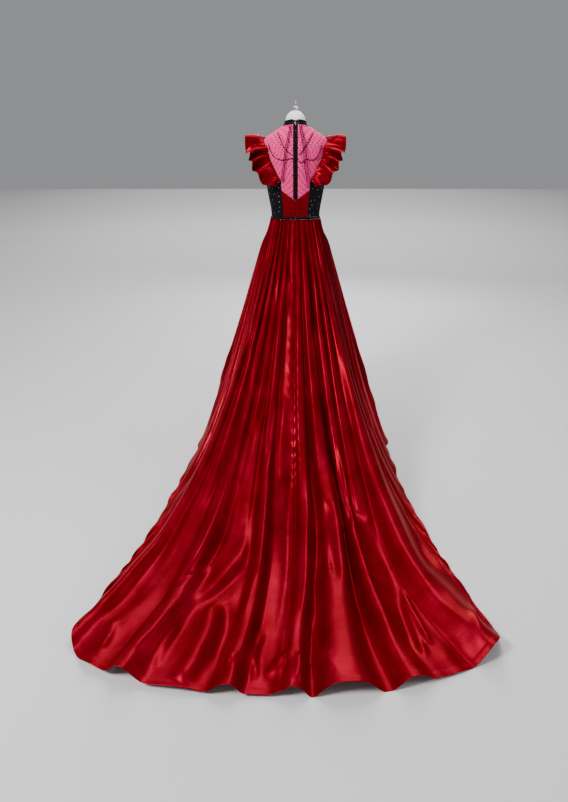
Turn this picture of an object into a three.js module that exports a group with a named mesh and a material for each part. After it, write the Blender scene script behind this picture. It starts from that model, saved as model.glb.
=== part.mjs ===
// A long satin gown with a gathered skirt and a train, worn by a limbless dress form on a pole and a round base.
// Millimetres, +Z up. The origin is on the floor under the pole, and the back of the gown faces -Y.
import * as THREE from "three";

// The gown's driving sizes.
const WAIST_HEIGHT = 1170;
const WAIST_SIDE = 124;
const WAIST_DEPTH = 86;
const WAIST_BAND_HEIGHT = 10;
const WAIST_BAND_OUT = 7;
const NAPE_HEIGHT = 1588;
const COLLAR_HEIGHT = 22;
const HIDDEN_FOLD_COUNT = 30;
const FOLD_DEPTH_SHARE = 0.25;
const SATIN = 2;
const TULLE = 1;
const RUFFLE_WALL = 1.2;
const SKIRT_WALL = 2.2;
const BODY_CLEARANCE = 2.2;
const SEAM_GAP = 0.3;
const SKIRT_SEAM_GAP = 0.8;
const BEAD_DIAMETER = 3;
const ZIP_TAPE_WIDTH = 8.4;
const ZIP_CHAIN_HALF_WIDTH = 2;
const ZIP_CHAIN_WALL = 2;
const SLIDER_HEIGHT = 1592;
const SLIDER_LIFT = 1.6;
const SLIDER_WIDTH = 6;
const PULL_WIDTH = 5;

// The stand's driving sizes.
const BASE_RADIUS = 190;
const BASE_HEIGHT = 18;
const POLE_RADIUS = 14;
const NECK_TOP = 1600;
const CAP_RISE = 47;
const FINIAL_RISE = 38;

// Levels of the dress form, from its lower edge to the neck: half width, and depth behind and before the axis.
// The last level is above the form and only guides the standing collar.
const FORM_LEVELS = [
  { height: 905, side: 138, back: 94, front: 84 },
  { height: 960, side: 148, back: 100, front: 90 },
  { height: 1020, side: 147, back: 98, front: 90 },
  { height: 1080, side: 134, back: 88, front: 84 },
  { height: 1130, side: 121, back: 80, front: 79 },
  { height: 1170, side: 115, back: 76, front: 76 },
  { height: 1215, side: 118, back: 78, front: 82 },
  { height: 1265, side: 127, back: 84, front: 95 },
  { height: 1315, side: 136, back: 90, front: 114 },
  { height: 1360, side: 142, back: 95, front: 125 },
  { height: 1405, side: 146, back: 98, front: 115 },
  { height: 1445, side: 151, back: 99, front: 96 },
  { height: 1480, side: 157, back: 96, front: 80 },
  { height: 1506, side: 158, back: 90, front: 69 },
  { height: 1524, side: 147, back: 84, front: 61 },
  { height: 1540, side: 125, back: 77, front: 55 },
  { height: 1556, side: 98, back: 69, front: 52 },
  { height: 1570, side: 74, back: 60, front: 50 },
  { height: 1582, side: 56, back: 53, front: 49 },
  { height: 1600, side: 47, back: 47, front: 49 },
  { height: 1625, side: 46, back: 46, front: 48 },
];
const FORM_SQUARENESS = 2.15;

// The hem's outline on the floor, from the middle of the train round one side to the middle of the front.
const HEM_OUTLINE = [
  { side: 0, ahead: -1790 },
  { side: 240, ahead: -1780 },
  { side: 460, ahead: -1732 },
  { side: 640, ahead: -1655 },
  { side: 704, ahead: -1550 },
  { side: 670, ahead: -1400 },
  { side: 618, ahead: -1180 },
  { side: 574, ahead: -930 },
  { side: 540, ahead: -640 },
  { side: 520, ahead: -340 },
  { side: 500, ahead: -60 },
  { side: 426, ahead: 190 },
  { side: 300, ahead: 370 },
  { side: 150, ahead: 465 },
  { side: 0, ahead: 490 },
];

// The train lies a little to one side of the middle, and its -X corner is a little fuller and longer.
const TRAIN_SWAY = -30;
const CORNER_WIDER = 12;
const CORNER_LONGER = 14;

// Folds behind, from the middle of the back: how wide each is, and its depth near the waist and near the hem.
const FOLDS_BACK_RIGHT = [
  { width: 0.8, high: 0.45, low: 0.7 },
  { width: 1.35, high: 1.0, low: 1.4 },
  { width: 0.95, high: 1.2, low: 0.85 },
  { width: 0.9, high: 1.0, low: -0.35 },
  { width: 1.4, high: 1.1, low: 1.5 },
  { width: 0.85, high: 1.1, low: -0.2 },
];
const FOLDS_BACK_LEFT = [
  { width: 1.05, high: 0.45, low: -0.45 },
  { width: 0.9, high: 0.9, low: 1.3 },
  { width: 0.85, high: 1.2, low: -0.3 },
  { width: 0.95, high: 1.0, low: 1.2 },
  { width: 0.85, high: 1.1, low: -0.2 },
  { width: 1.35, high: 1.0, low: 1.45 },
];

// How many folds each gore takes up behind and at the side; the front gore takes up the rest.
const BACK_GORE_FOLDS = 4;
const SIDE_GORE_FOLDS = 12;

// How far down each skirt ring lies, as a share of the way out from the waist to the hem.
const SKIRT_RINGS = [0, 0.025, 0.07, 0.14, 0.24, 0.36, 0.5, 0.65, 0.8, 0.91, 1];

// The ruffle's root on the armhole, from its low end behind over the shoulder to its low end before.
// The reach goes sideways, backwards (-) or forwards (+), and up (+) or down (-) from the root.
const RUFFLE_ROWS = [
  { side: 68, height: 1348, face: -1, out: 22, ahead: -14, rise: -24, wave: 3 },
  { side: 82, height: 1371, face: -1, out: 58, ahead: -30, rise: -34, wave: 15 },
  { side: 106, height: 1419, face: -1, out: 76, ahead: -34, rise: -32, wave: 20 },
  { side: 121, height: 1457, face: -1, out: 86, ahead: -32, rise: -22, wave: 22 },
  { side: 132, height: 1495, face: -1, out: 90, ahead: -24, rise: -6, wave: 20 },
  { side: 141, height: 1531, face: 0, out: 86, ahead: 0, rise: 4, wave: 17 },
  { side: 130, height: 1508, face: 1, out: 90, ahead: 24, rise: -8, wave: 20 },
  { side: 118, height: 1478, face: 1, out: 86, ahead: 32, rise: -22, wave: 22 },
  { side: 106, height: 1440, face: 1, out: 72, ahead: 34, rise: -32, wave: 18 },
  { side: 97, height: 1403, face: 1, out: 30, ahead: 20, rise: -28, wave: 4 },
];
const RUFFLE_WAVES = 9;

// Bead strings across the back: each row is a point of its route, side and height, on or above the tulle.
const BEAD_STRINGS = {
  left_swag: {
    layer: 0,
    route: [[-122, 1500], [-114, 1476], [-100, 1453], [-80, 1440], [-60, 1436], [-40, 1438], [-15, 1444]],
  },
  left_neck: { layer: 0, route: [[-80, 1545], [-69, 1523], [-57, 1497], [-43, 1479], [-28, 1466], [-15, 1456]] },
  left_fall_outer: {
    layer: 1,
    route: [[-23, 1577], [-29, 1552], [-38, 1514], [-47, 1478], [-52, 1440], [-57, 1400], [-62, 1366], [-62, 1346]],
  },
  left_fall_inner: {
    layer: 1,
    route: [[-17, 1577], [-22, 1552], [-31, 1514], [-40, 1478], [-44, 1440], [-49, 1400], [-54, 1366], [-55, 1340]],
  },
  right_fall_inner: {
    layer: 1,
    route: [[17, 1577], [22, 1552], [29, 1518], [35, 1483], [38, 1440], [43, 1395], [50, 1350], [55, 1316]],
  },
  right_fall_outer: {
    layer: 1,
    route: [[23, 1577], [30, 1552], [40, 1518], [47, 1478], [51, 1440], [56, 1395], [61, 1366], [62, 1350]],
  },
  right_neck: { layer: 0, route: [[78, 1545], [65, 1523], [51, 1499], [38, 1483], [25, 1467], [15, 1458]] },
  right_swag: {
    layer: 0,
    route: [[118, 1498], [112, 1474], [99, 1448], [80, 1437], [64, 1437], [50, 1440], [38, 1429], [24, 1427],
      [15, 1431]],
  },
};
const BEAD_TUBE_SIDES = 6;
const BEAD_TUBE_STEP = 14;
const BEAD_LIFT = 1.4;

// The zip pull's bar, measured out from the chain and down from the slider's middle, and the tab's length.
const PULL_PIVOT_OUT = 2.9;
const PULL_PIVOT_DOWN = -2;
const PULL_LENGTH = 17;

// Colours and finishes.
const FINISH = {
  red_satin: { color: 0x8a0310, roughness: 0.35, metalness: 0 },
  red_tulle: { color: 0xd0305a, roughness: 0.8, metalness: 0 },
  black_cloth: { color: 0x0a0809, roughness: 0.6, metalness: 0 },
  black_bead: { color: 0x080808, roughness: 0.2, metalness: 0 },
  silver: { color: 0xc8c8cc, roughness: 0.25, metalness: 1 },
  white_form: { color: 0xeee6f4, roughness: 0.6, metalness: 0 },
  stand_metal: { color: 0x9a98a0, roughness: 0.35, metalness: 1 },
};

// Plain number helpers.
const mix = (a, b, t) => a + (b - a) * t;
const clamp = (x, low, high) => Math.min(high, Math.max(low, x));
const smooth = (low, high, x) => {
  const t = clamp((x - low) / (high - low), 0, 1);
  return t * t * (3 - 2 * t);
};
const share = (count) => Array.from({ length: count + 1 }, (_, i) => i / count);

// A smooth curve through the rows of a table, read at a row number that need not be whole.
function rowAt(table, at) {
  const last = table.length - 1;
  const i = clamp(Math.floor(at), 0, last - 1);
  const t = clamp(at, 0, last) - i;
  const [p, a, b, q] = [i - 1, i, i + 1, i + 2].map((k) => table[clamp(k, 0, last)]);
  const row = {};
  for (const key of Object.keys(a)) {
    if (typeof a[key] !== "number") continue;
    const start = (b[key] - p[key]) / 2;
    const end = (q[key] - a[key]) / 2;
    const bend = 2 * t * t * t - 3 * t * t;
    row[key] = a[key] * (bend + 1) + b[key] * -bend
      + start * (t * t * t - 2 * t * t + t) + end * (t * t * t - t * t);
  }
  return row;
}

// A table read at a row number that need not be whole, straight from row to row.
function lineAt(table, at) {
  const i = clamp(Math.floor(at), 0, table.length - 2);
  const [a, b] = [table[i], table[i + 1]];
  return { turn: mix(a.turn, b.turn, at - i), height: mix(a.height, b.height, at - i) };
}

// The row number of the dress form at a height.
function levelAt(height) {
  let low = 0;
  let high = FORM_LEVELS.length - 1;
  for (let step = 0; step < 30; step += 1) {
    const middle = (low + high) / 2;
    if (rowAt(FORM_LEVELS, middle).height < height) low = middle;
    else high = middle;
  }
  return (low + high) / 2;
}

// The dress form's skin: turn is 0 behind, a quarter circle at +X, a half circle in front.
function formSkin(turn, height) {
  const level = rowAt(FORM_LEVELS, levelAt(height));
  const power = 2 / FORM_SQUARENESS;
  const across = Math.sin(turn);
  const along = Math.cos(turn);
  return new THREE.Vector3(
    level.side * Math.sign(across) * Math.abs(across) ** power,
    -(along > 0 ? level.back : level.front) * Math.sign(along) * Math.abs(along) ** power,
    level.height,
  );
}

// The turn at which the skin has this distance to the side, behind the axis or before it.
function turnOf(side, height, front = false) {
  const level = rowAt(FORM_LEVELS, levelAt(height));
  const turn = Math.asin(clamp(Math.abs(side) / level.side, 0, 1) ** (FORM_SQUARENESS / 2));
  return front ? Math.PI - turn : turn;
}

// A point of a surface moved out along its normal. The surface's two numbers run right and up when seen from outside.
function lifted(surface, u, v, out) {
  const step = 1e-3;
  const point = surface(u, v);
  const right = surface(u + step, v).sub(surface(u - step, v));
  const up = surface(u, v + step).sub(surface(u, v - step));
  return point.addScaledVector(right.cross(up).normalize(), out);
}

// A closed wall between two distances from a surface. Where it closes on itself, us leaves out the repeated end.
// trim draws its left, right, lower and upper edges in by some millimetres; settle corrects each finished point.
function wall(surface, us, vs, inner, outer, { closed = false, trim = [0, 0, 0, 0], settle = (p) => p } = {}) {
  const columns = us.length;
  const rows = vs.length;
  const skins = [outer, inner].map((out) => {
    const grid = us.map((u) => vs.map((v) => lifted(surface, u, v, out)));
    const pull = (edge, next, by) => edge.map((p, k) => p.addScaledVector(next[k].clone().sub(p).normalize(), by));
    if (trim[0]) pull(grid[0], grid[1], trim[0]);
    if (trim[1]) pull(grid[columns - 1], grid[columns - 2], trim[1]);
    if (trim[2]) grid.forEach((c) => pull([c[0]], [c[1]], trim[2]));
    if (trim[3]) grid.forEach((c) => pull([c[rows - 1]], [c[rows - 2]], trim[3]));
    return grid.map((c) => c.map((p) => settle(p, out)));
  });
  const points = skins.flat(2);
  const at = (skin, i, j) => skin * columns * rows + (i % columns) * rows + j;
  const faces = [];
  const quad = (a, b, c, d) => faces.push(a, b, c, a, c, d);
  const spans = closed ? columns : columns - 1;
  for (let i = 0; i < spans; i += 1) {
    for (let j = 0; j < rows - 1; j += 1) {
      quad(at(0, i, j), at(0, i + 1, j), at(0, i + 1, j + 1), at(0, i, j + 1));
      quad(at(1, i, j), at(1, i, j + 1), at(1, i + 1, j + 1), at(1, i + 1, j));
    }
    quad(at(1, i, 0), at(1, i + 1, 0), at(0, i + 1, 0), at(0, i, 0));
    quad(at(0, i, rows - 1), at(0, i + 1, rows - 1), at(1, i + 1, rows - 1), at(1, i, rows - 1));
  }
  if (!closed) {
    for (let j = 0; j < rows - 1; j += 1) {
      quad(at(0, 0, j), at(0, 0, j + 1), at(1, 0, j + 1), at(1, 0, j));
      quad(at(0, spans, j + 1), at(0, spans, j), at(1, spans, j), at(1, spans, j + 1));
    }
  }
  const geometry = new THREE.BufferGeometry().setFromPoints(points);
  geometry.setIndex(faces);
  geometry.computeVertexNormals();
  return geometry;
}

// A surface ruled between two curves on the dress form; each curve gives a turn and a height.
function ruledSkin(leftCurve, rightCurve) {
  return (u, v) => {
    const left = leftCurve(v);
    const right = rightCurve(v);
    return formSkin(mix(left.turn, right.turn, u), mix(left.height, right.height, u));
  };
}

// The same surface on the other side of the gown, still running right and up when seen from outside.
const mirrored = (surface) => (u, v) => {
  const point = surface(1 - u, v);
  point.x = -point.x;
  return point;
};

// A closed solid of a side outline, given by points out from the gown and down along it, and its width along X.
function sideSolid(outline, width) {
  const shape = new THREE.Shape(outline.map(([out, down]) => new THREE.Vector2(out, down)));
  const geometry = new THREE.ExtrudeGeometry(shape, { depth: width, bevelEnabled: false });
  geometry.translate(0, 0, -width / 2);
  const axes = new THREE.Matrix4().makeBasis(
    new THREE.Vector3(0, -1, 0), new THREE.Vector3(0, 0, -1), new THREE.Vector3(1, 0, 0),
  );
  return geometry.applyMatrix4(axes);
}

const group = new THREE.Group();
const materials = Object.fromEntries(
  Object.entries(FINISH).map(([name, look]) => [name, new THREE.MeshStandardMaterial(look)]),
);
function add(name, geometry, finish) {
  const mesh = new THREE.Mesh(geometry, materials[finish]);
  mesh.name = name;
  group.add(mesh);
  return mesh;
}

// The dress form: a smooth torso to the neck, a domed cap, a turned finial, a pole and a round base.
function buildDressForm() {
  const rings = [905, 940, 985, 1035, 1085, 1130, 1170, 1215, 1265, 1315, 1360, 1405, 1445, 1480, 1506, 1524, 1540,
    1556, 1570, 1582, NECK_TOP - 0.3];
  const turns = share(28).slice(0, -1).map((t) => t * 2 * Math.PI);
  const points = rings.flatMap((height) => turns.map((turn) => formSkin(turn, height)));
  const faces = [];
  const around = turns.length;
  for (let ring = 0; ring < rings.length - 1; ring += 1) {
    for (let i = 0; i < around; i += 1) {
      const [a, b] = [ring * around + i, ring * around + ((i + 1) % around)];
      faces.push(a, b, b + around, a, b + around, a + around);
    }
  }
  const below = points.push(new THREE.Vector3(0, 0, rings[0])) - 1;
  const above = points.push(new THREE.Vector3(0, 0, rings[rings.length - 1])) - 1;
  const top = (rings.length - 1) * around;
  for (let i = 0; i < around; i += 1) {
    const next = (i + 1) % around;
    faces.push(below, next, i, above, top + i, top + next);
  }
  const torso = new THREE.BufferGeometry().setFromPoints(points);
  torso.setIndex(faces);
  torso.computeVertexNormals();
  add("form_torso", torso, "white_form");

  const neck = rowAt(FORM_LEVELS, levelAt(NECK_TOP));
  const dome = share(7).map((t) => new THREE.Vector2(Math.cos((t * Math.PI) / 2), Math.sin((t * Math.PI) / 2)));
  dome[dome.length - 1].x = 0;
  const cap = new THREE.LatheGeometry([new THREE.Vector2(0, 0), ...dome], 24);
  cap.scale(neck.side, CAP_RISE, (neck.back + neck.front) / 2);
  cap.rotateX(Math.PI / 2);
  cap.translate(0, (neck.front - neck.back) / 2, NECK_TOP);
  add("form_neck_cap", cap, "white_form");

  // The finial's turned profile: radius and height above the dome.
  const finialProfile = [
    [0, 0], [9, 0], [12.5, 4], [12.5, 12], [8, 16], [3.6, 18], [3.4, 22], [5.6, 25], [5.4, 29], [3, 31.5], [4.4, 34],
    [3, FINIAL_RISE - 1], [0, FINIAL_RISE],
  ];
  const finial = new THREE.LatheGeometry(finialProfile.map(([r, z]) => new THREE.Vector2(r, z)), 12);
  finial.rotateX(Math.PI / 2);
  finial.translate(0, (neck.front - neck.back) / 2, NECK_TOP + CAP_RISE + SEAM_GAP);
  add("form_finial", finial, "silver");

  const poleFoot = BASE_HEIGHT + SEAM_GAP;
  const poleTop = rings[0] - SEAM_GAP;
  const pole = new THREE.CylinderGeometry(POLE_RADIUS, POLE_RADIUS, poleTop - poleFoot, 20);
  pole.rotateX(Math.PI / 2);
  pole.translate(0, 0, (poleFoot + poleTop) / 2);
  add("stand_pole", pole, "stand_metal");

  const baseProfile = [[0, 0], [BASE_RADIUS, 0], [BASE_RADIUS, 8], [BASE_RADIUS - 8, 12], [60, BASE_HEIGHT],
    [0, BASE_HEIGHT]];
  const base = new THREE.LatheGeometry(baseProfile.map(([r, z]) => new THREE.Vector2(r, z)), 40);
  base.rotateX(Math.PI / 2);
  add("stand_base", base, "stand_metal");
}

// The skirt's plan at the hem, walked by its length from the middle of the train.
const hemWalk = (() => {
  const half = share((HEM_OUTLINE.length - 1) * 12).map((t) => rowAt(HEM_OUTLINE, t * (HEM_OUTLINE.length - 1)));
  const lengths = [0];
  for (let i = 1; i < half.length; i += 1) {
    lengths.push(lengths[i - 1] + Math.hypot(half[i].side - half[i - 1].side, half[i].ahead - half[i - 1].ahead));
  }
  return { half, lengths, total: lengths[lengths.length - 1] };
})();

// A point of the hem: around runs 0 to 1 from the middle of the train by +X, the front and -X.
function hemPoint(around) {
  const wrapped = around - Math.floor(around);
  const mirroredSide = wrapped > 0.5;
  const along = (mirroredSide ? 1 - wrapped : wrapped) * 2 * hemWalk.total;
  let i = 1;
  while (i < hemWalk.lengths.length - 1 && hemWalk.lengths[i] < along) i += 1;
  const t = (along - hemWalk.lengths[i - 1]) / (hemWalk.lengths[i] - hemWalk.lengths[i - 1]);
  const [a, b] = [hemWalk.half[i - 1], hemWalk.half[i]];
  const side = mix(a.side, b.side, t) * (mirroredSide ? -1 : 1);
  const ahead = mix(a.ahead, b.ahead, t);
  const wider = CORNER_WIDER * smooth(0, 300, -side) * smooth(900, 1350, -ahead) * (1 - smooth(1400, 1650, -ahead));
  const longer = CORNER_LONGER * smooth(250, 480, -side) * smooth(1400, 1650, -ahead);
  return new THREE.Vector2(side - wider + TRAIN_SWAY * smooth(-200, 700, -ahead), ahead - longer);
}

// A point of the gathered waist edge, by nearly equal shares of its length.
function waistPoint(around) {
  const turn = around * 2 * Math.PI;
  const even = turn + 0.095 * Math.sin(2 * turn);
  return new THREE.Vector2(WAIST_SIDE * Math.sin(even), -WAIST_DEPTH * Math.cos(even));
}

// All folds round the skirt, each with its start and width as shares of the way round, and its two depths.
// The folds at the sides and before are uneven in the same manner as those behind.
const foldRing = (() => {
  const hidden = [];
  for (let k = 0; k < HIDDEN_FOLD_COUNT; k += 1) {
    hidden.push({
      width: 1 + 0.24 * Math.sin(2.4 * k + 0.6) + 0.08 * Math.sin(5.3 * k),
      high: 1 + 0.18 * Math.sin(1.9 * k),
      low: 0.6 + 0.7 * Math.sin(2.4 * k + 0.9),
    });
  }
  const all = [...FOLDS_BACK_RIGHT, ...hidden, ...[...FOLDS_BACK_LEFT].reverse()];
  const total = all.reduce((sum, fold) => sum + fold.width, 0);
  let start = 0;
  return all.map(({ width, high, low }) => {
    const placed = { start: start / total, width: width / total, high, low };
    start += width;
    return placed;
  });
})();
const FOLD_COUNT = foldRing.length;

// The fold wave at a place round the skirt: positive on a crest and negative in a valley.
// Two neighbours share the depth of the valley between them; crests are broader than valleys.
function foldWave(around, out) {
  const wrapped = around - Math.floor(around);
  let i = FOLD_COUNT - 1;
  while (i > 0 && foldRing[i].start > wrapped) i -= 1;
  const t = (wrapped - foldRing[i].start) / foldRing[i].width;
  const depthOf = (fold) => mix(fold.high, fold.low, smooth(0.06, 0.45, out));
  const here = depthOf(foldRing[i]);
  const beside = depthOf(foldRing[(i + (t < 0.5 ? FOLD_COUNT - 1 : 1)) % FOLD_COUNT]);
  const valley = (here + beside) / 2;
  const sharpness = mix(2.4, 1.4, smooth(0.4, 1, out));
  const rising = 1 - ((1 + Math.cos(2 * Math.PI * t)) / 2) ** sharpness;
  return mix(-valley, here, rising);
}

// How far the folds drift sideways on their way down, as a share of the way round.
function foldDrift(around, out) {
  const turn = 2 * Math.PI * around;
  const wander = 0.009 * Math.sin(3 * turn) * Math.cos(5.2 * out) * smooth(0.3, 0.95, out);
  return wander + out * (0.0055 * Math.sin(5 * turn + 3.1 * out) + 0.003 * Math.sin(11 * turn - 4 * out + 1));
}

// The skirt without folds: its point, the way out from the waist there, its height and its slope.
function skirtFrame(around, out) {
  const waist = waistPoint(around);
  const hem = hemPoint(around);
  const reach = hem.clone().sub(waist);
  const flow = smooth(300, 1500, reach.length());
  const power = mix(1.12, 2.5, flow);
  const drop = (1 - clamp(out, 0, 1)) ** power;
  const flare = 26 * smooth(0, 0.1, out) * (1 - smooth(0.1, 0.9, out)) * (1 - 0.4 * flow);
  const plan = waist.clone().addScaledVector(reach, out);
  const away = reach.clone().normalize();
  plan.addScaledVector(away, flare);
  const slope = (WAIST_HEIGHT * power * Math.max(1 - out, 0.15) ** (power - 1)) / reach.length();
  return { plan, away, height: WAIST_HEIGHT * drop, lean: Math.atan(slope), flow };
}

// How wide an average fold is, measured across the way it runs.
function foldPitch(around, out) {
  const step = 0.25 / FOLD_COUNT;
  const here = skirtFrame(around, out);
  const run = skirtFrame(around + step, out).plan.sub(skirtFrame(around - step, out).plan);
  return Math.abs(run.cross(here.away)) * 2;
}

// The skirt's outer face: rise is 0 at the hem and 1 at the waist, as a share of the way out.
function skirtSkin(around, rise) {
  const out = 1 - rise;
  const drifted = around + foldDrift(around, out);
  const { plan, away, height, lean, flow } = skirtFrame(drifted, out);
  const lying = flow * smooth(0.6, 1, out);
  const depth = FOLD_DEPTH_SHARE * foldPitch(drifted, out) * (1 - 0.2 * lying);
  const side = (Math.abs(around - Math.floor(around) - 0.5) - 0.145) / 0.075;
  const calm = 1 - 0.7 * Math.exp(-(side ** 2)) * smooth(0.5, 1, out);
  const wave = depth * calm * foldWave(around, out);
  const sideways = Math.sin(lean) * wave;
  const levelHem = mix(1 - smooth(0.75, 1, out), 1, flow);
  const upward = levelHem * Math.cos(lean) * (wave + depth * 0.95 * smooth(0.3, 1, out));
  return new THREE.Vector3(
    plan.x + away.x * sideways,
    plan.y + away.y * sideways,
    height + upward + SKIRT_WALL * smooth(0.3, 1, out),
  );
}

// The skirt is five gores: two behind with a seam down the middle, one at each side and one before.
function buildSkirt() {
  const samplesPerFold = 4;
  const crossing = (fold) => foldRing[fold % FOLD_COUNT].start + Math.floor(fold / FOLD_COUNT);
  const columns = (from, to) => {
    const list = [];
    for (let fold = from; fold < to; fold += 1) {
      for (let k = 0; k < samplesPerFold; k += 1) {
        list.push(mix(crossing(fold), crossing(fold + 1), k / samplesPerFold));
      }
    }
    list.push(crossing(to));
    return list;
  };
  const rises = SKIRT_RINGS.map((out) => 1 - out).reverse();
  const settle = (p, out) => {
    p.z = clamp(p.z, out < 0 ? 0 : SKIRT_WALL, WAIST_HEIGHT - SEAM_GAP);
    return p;
  };
  const trim = [SKIRT_SEAM_GAP / 2, SKIRT_SEAM_GAP / 2, 0, 0];
  const gore = (name, from, to) => {
    add(name, wall(skirtSkin, columns(from, to), rises, -SKIRT_WALL, 0, { trim, settle }), "red_satin");
  };
  const backSeam = BACK_GORE_FOLDS;
  const leftBackSeam = FOLD_COUNT - BACK_GORE_FOLDS;
  gore("skirt_back_right", 0, backSeam);
  gore("skirt_side_right", backSeam, backSeam + SIDE_GORE_FOLDS);
  gore("skirt_front", backSeam + SIDE_GORE_FOLDS, leftBackSeam - SIDE_GORE_FOLDS);
  gore("skirt_side_left", leftBackSeam - SIDE_GORE_FOLDS, leftBackSeam);
  gore("skirt_back_left", leftBackSeam, FOLD_COUNT);
}

// Corners and edges of the bodice on the dress form.
const BODICE_FOOT = WAIST_HEIGHT + WAIST_BAND_HEIGHT + SEAM_GAP;
const ZIP_EDGE = ZIP_CHAIN_HALF_WIDTH + SEAM_GAP + ZIP_TAPE_WIDTH;
const BACK_V_HEIGHT = 1258;
const BACK_V_CORNER = 1302;
const backLineLow = { turn: turnOf(57, BODICE_FOOT), height: BODICE_FOOT };
const backLineHigh = { turn: turnOf(68, 1345), height: 1345 };
const backLine = (height) => {
  const t = (height - backLineLow.height) / (backLineHigh.height - backLineLow.height);
  return { turn: mix(backLineLow.turn, backLineHigh.turn, t), height };
};
const frontLineLow = { turn: turnOf(60, BODICE_FOOT, true), height: BODICE_FOOT };
const frontLineHigh = { turn: turnOf(80, 1408, true), height: 1408 };

// The lower back's upper edge, rising from a point at the zip to the corner at the side panel.
const backCorner = backLine(BACK_V_CORNER);
const backEdgeHeight = (turn) => mix(BACK_V_HEIGHT, BACK_V_CORNER, turn / backCorner.turn);

// The collar's seam line round the neck: level behind and lower before.
const SHOULDER_SEAM_TOP = 1578;
const COLLAR_FRONT_DIP = 22;
function collarSeam(turn) {
  const quarter = turn / (Math.PI / 2);
  if (quarter <= 1) return mix(NAPE_HEIGHT, SHOULDER_SEAM_TOP, quarter);
  return SHOULDER_SEAM_TOP - COLLAR_FRONT_DIP * (1 - (quarter - 2) ** 2);
}

// The armhole behind, from the low end of the ruffle up to the shoulder and along it to the collar.
const armholeBehind = RUFFLE_ROWS.filter((row) => row.face < 0).map(({ side, height }) => ({
  turn: turnOf(side, height), height,
}));
const shoulderTurns = { behind: { turn: 1.27, height: 1517 }, before: { turn: 1.87, height: 1522 } };
const shoulderSeam = [1531, 1548, 1564, SHOULDER_SEAM_TOP].map((height) => ({ turn: Math.PI / 2, height }));
const armholeBefore = RUFFLE_ROWS.filter((row) => row.face > 0).reverse().map(({ side, height }) => ({
  turn: turnOf(side, height, true), height,
}));

// The yoke: dotted tulle behind in two halves beside the zip, and one piece before.
function buildYoke() {
  const outerTable = [backCorner, ...armholeBehind, shoulderTurns.behind, ...shoulderSeam];
  const outerEdge = (v) => lineAt(outerTable, v * (outerTable.length - 1));
  const footTurn = turnOf(ZIP_EDGE, BACK_V_HEIGHT);
  const topTurn = turnOf(ZIP_EDGE, NAPE_HEIGHT);
  const innerEdge = (v) => {
    const height = mix(backEdgeHeight(footTurn), collarSeam(topTurn), v);
    return { turn: turnOf(ZIP_EDGE, height), height };
  };
  const half = ruledSkin(innerEdge, outerEdge);
  const inner = BODY_CLEARANCE;
  const outer = BODY_CLEARANCE + TULLE;
  const trim = [SEAM_GAP, SEAM_GAP, SEAM_GAP, SEAM_GAP];
  const across = share(7).map((t) => 1 - (1 - t) ** 1.3);
  const acrossLeft = across.map((u) => 1 - u).reverse();
  add("yoke_back_right", wall(half, across, share(20), inner, outer, { trim }), "red_tulle");
  add("yoke_back_left", wall(mirrored(half), acrossLeft, share(20), inner, outer, { trim }), "red_tulle");

  const frontTable = [...armholeBefore, shoulderTurns.before, ...shoulderSeam];
  const rightEdge = (v) => lineAt(frontTable, v * (frontTable.length - 1));
  const front = (u, v) => {
    const edge = rightEdge(v);
    const middle = 1 - (2 * u - 1) ** 2;
    const dip = mix(necklineDip(middle), COLLAR_FRONT_DIP * middle, v);
    return formSkin(mix(edge.turn, 2 * Math.PI - edge.turn, u), edge.height - dip);
  };
  const frontTrim = [SEAM_GAP, SEAM_GAP, 2 * SEAM_GAP, 2 * SEAM_GAP];
  add("yoke_front", wall(front, share(12), share(16), inner, outer, { trim: frontTrim }), "red_tulle");
}

// The neckline before dips in the middle and swells on both sides of it, between the low corners of the armholes.
const NECKLINE_DIP = 12;
const NECKLINE_SWELL = 9;
const necklineDip = (middle) => NECKLINE_DIP * middle ** 2 - NECKLINE_SWELL * middle * (1 - middle) * 4;
function neckline(turn) {
  const corner = armholeBefore[0];
  const u = (turn - corner.turn) / (2 * Math.PI - 2 * corner.turn);
  return corner.height - necklineDip(1 - (2 * u - 1) ** 2);
}

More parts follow.
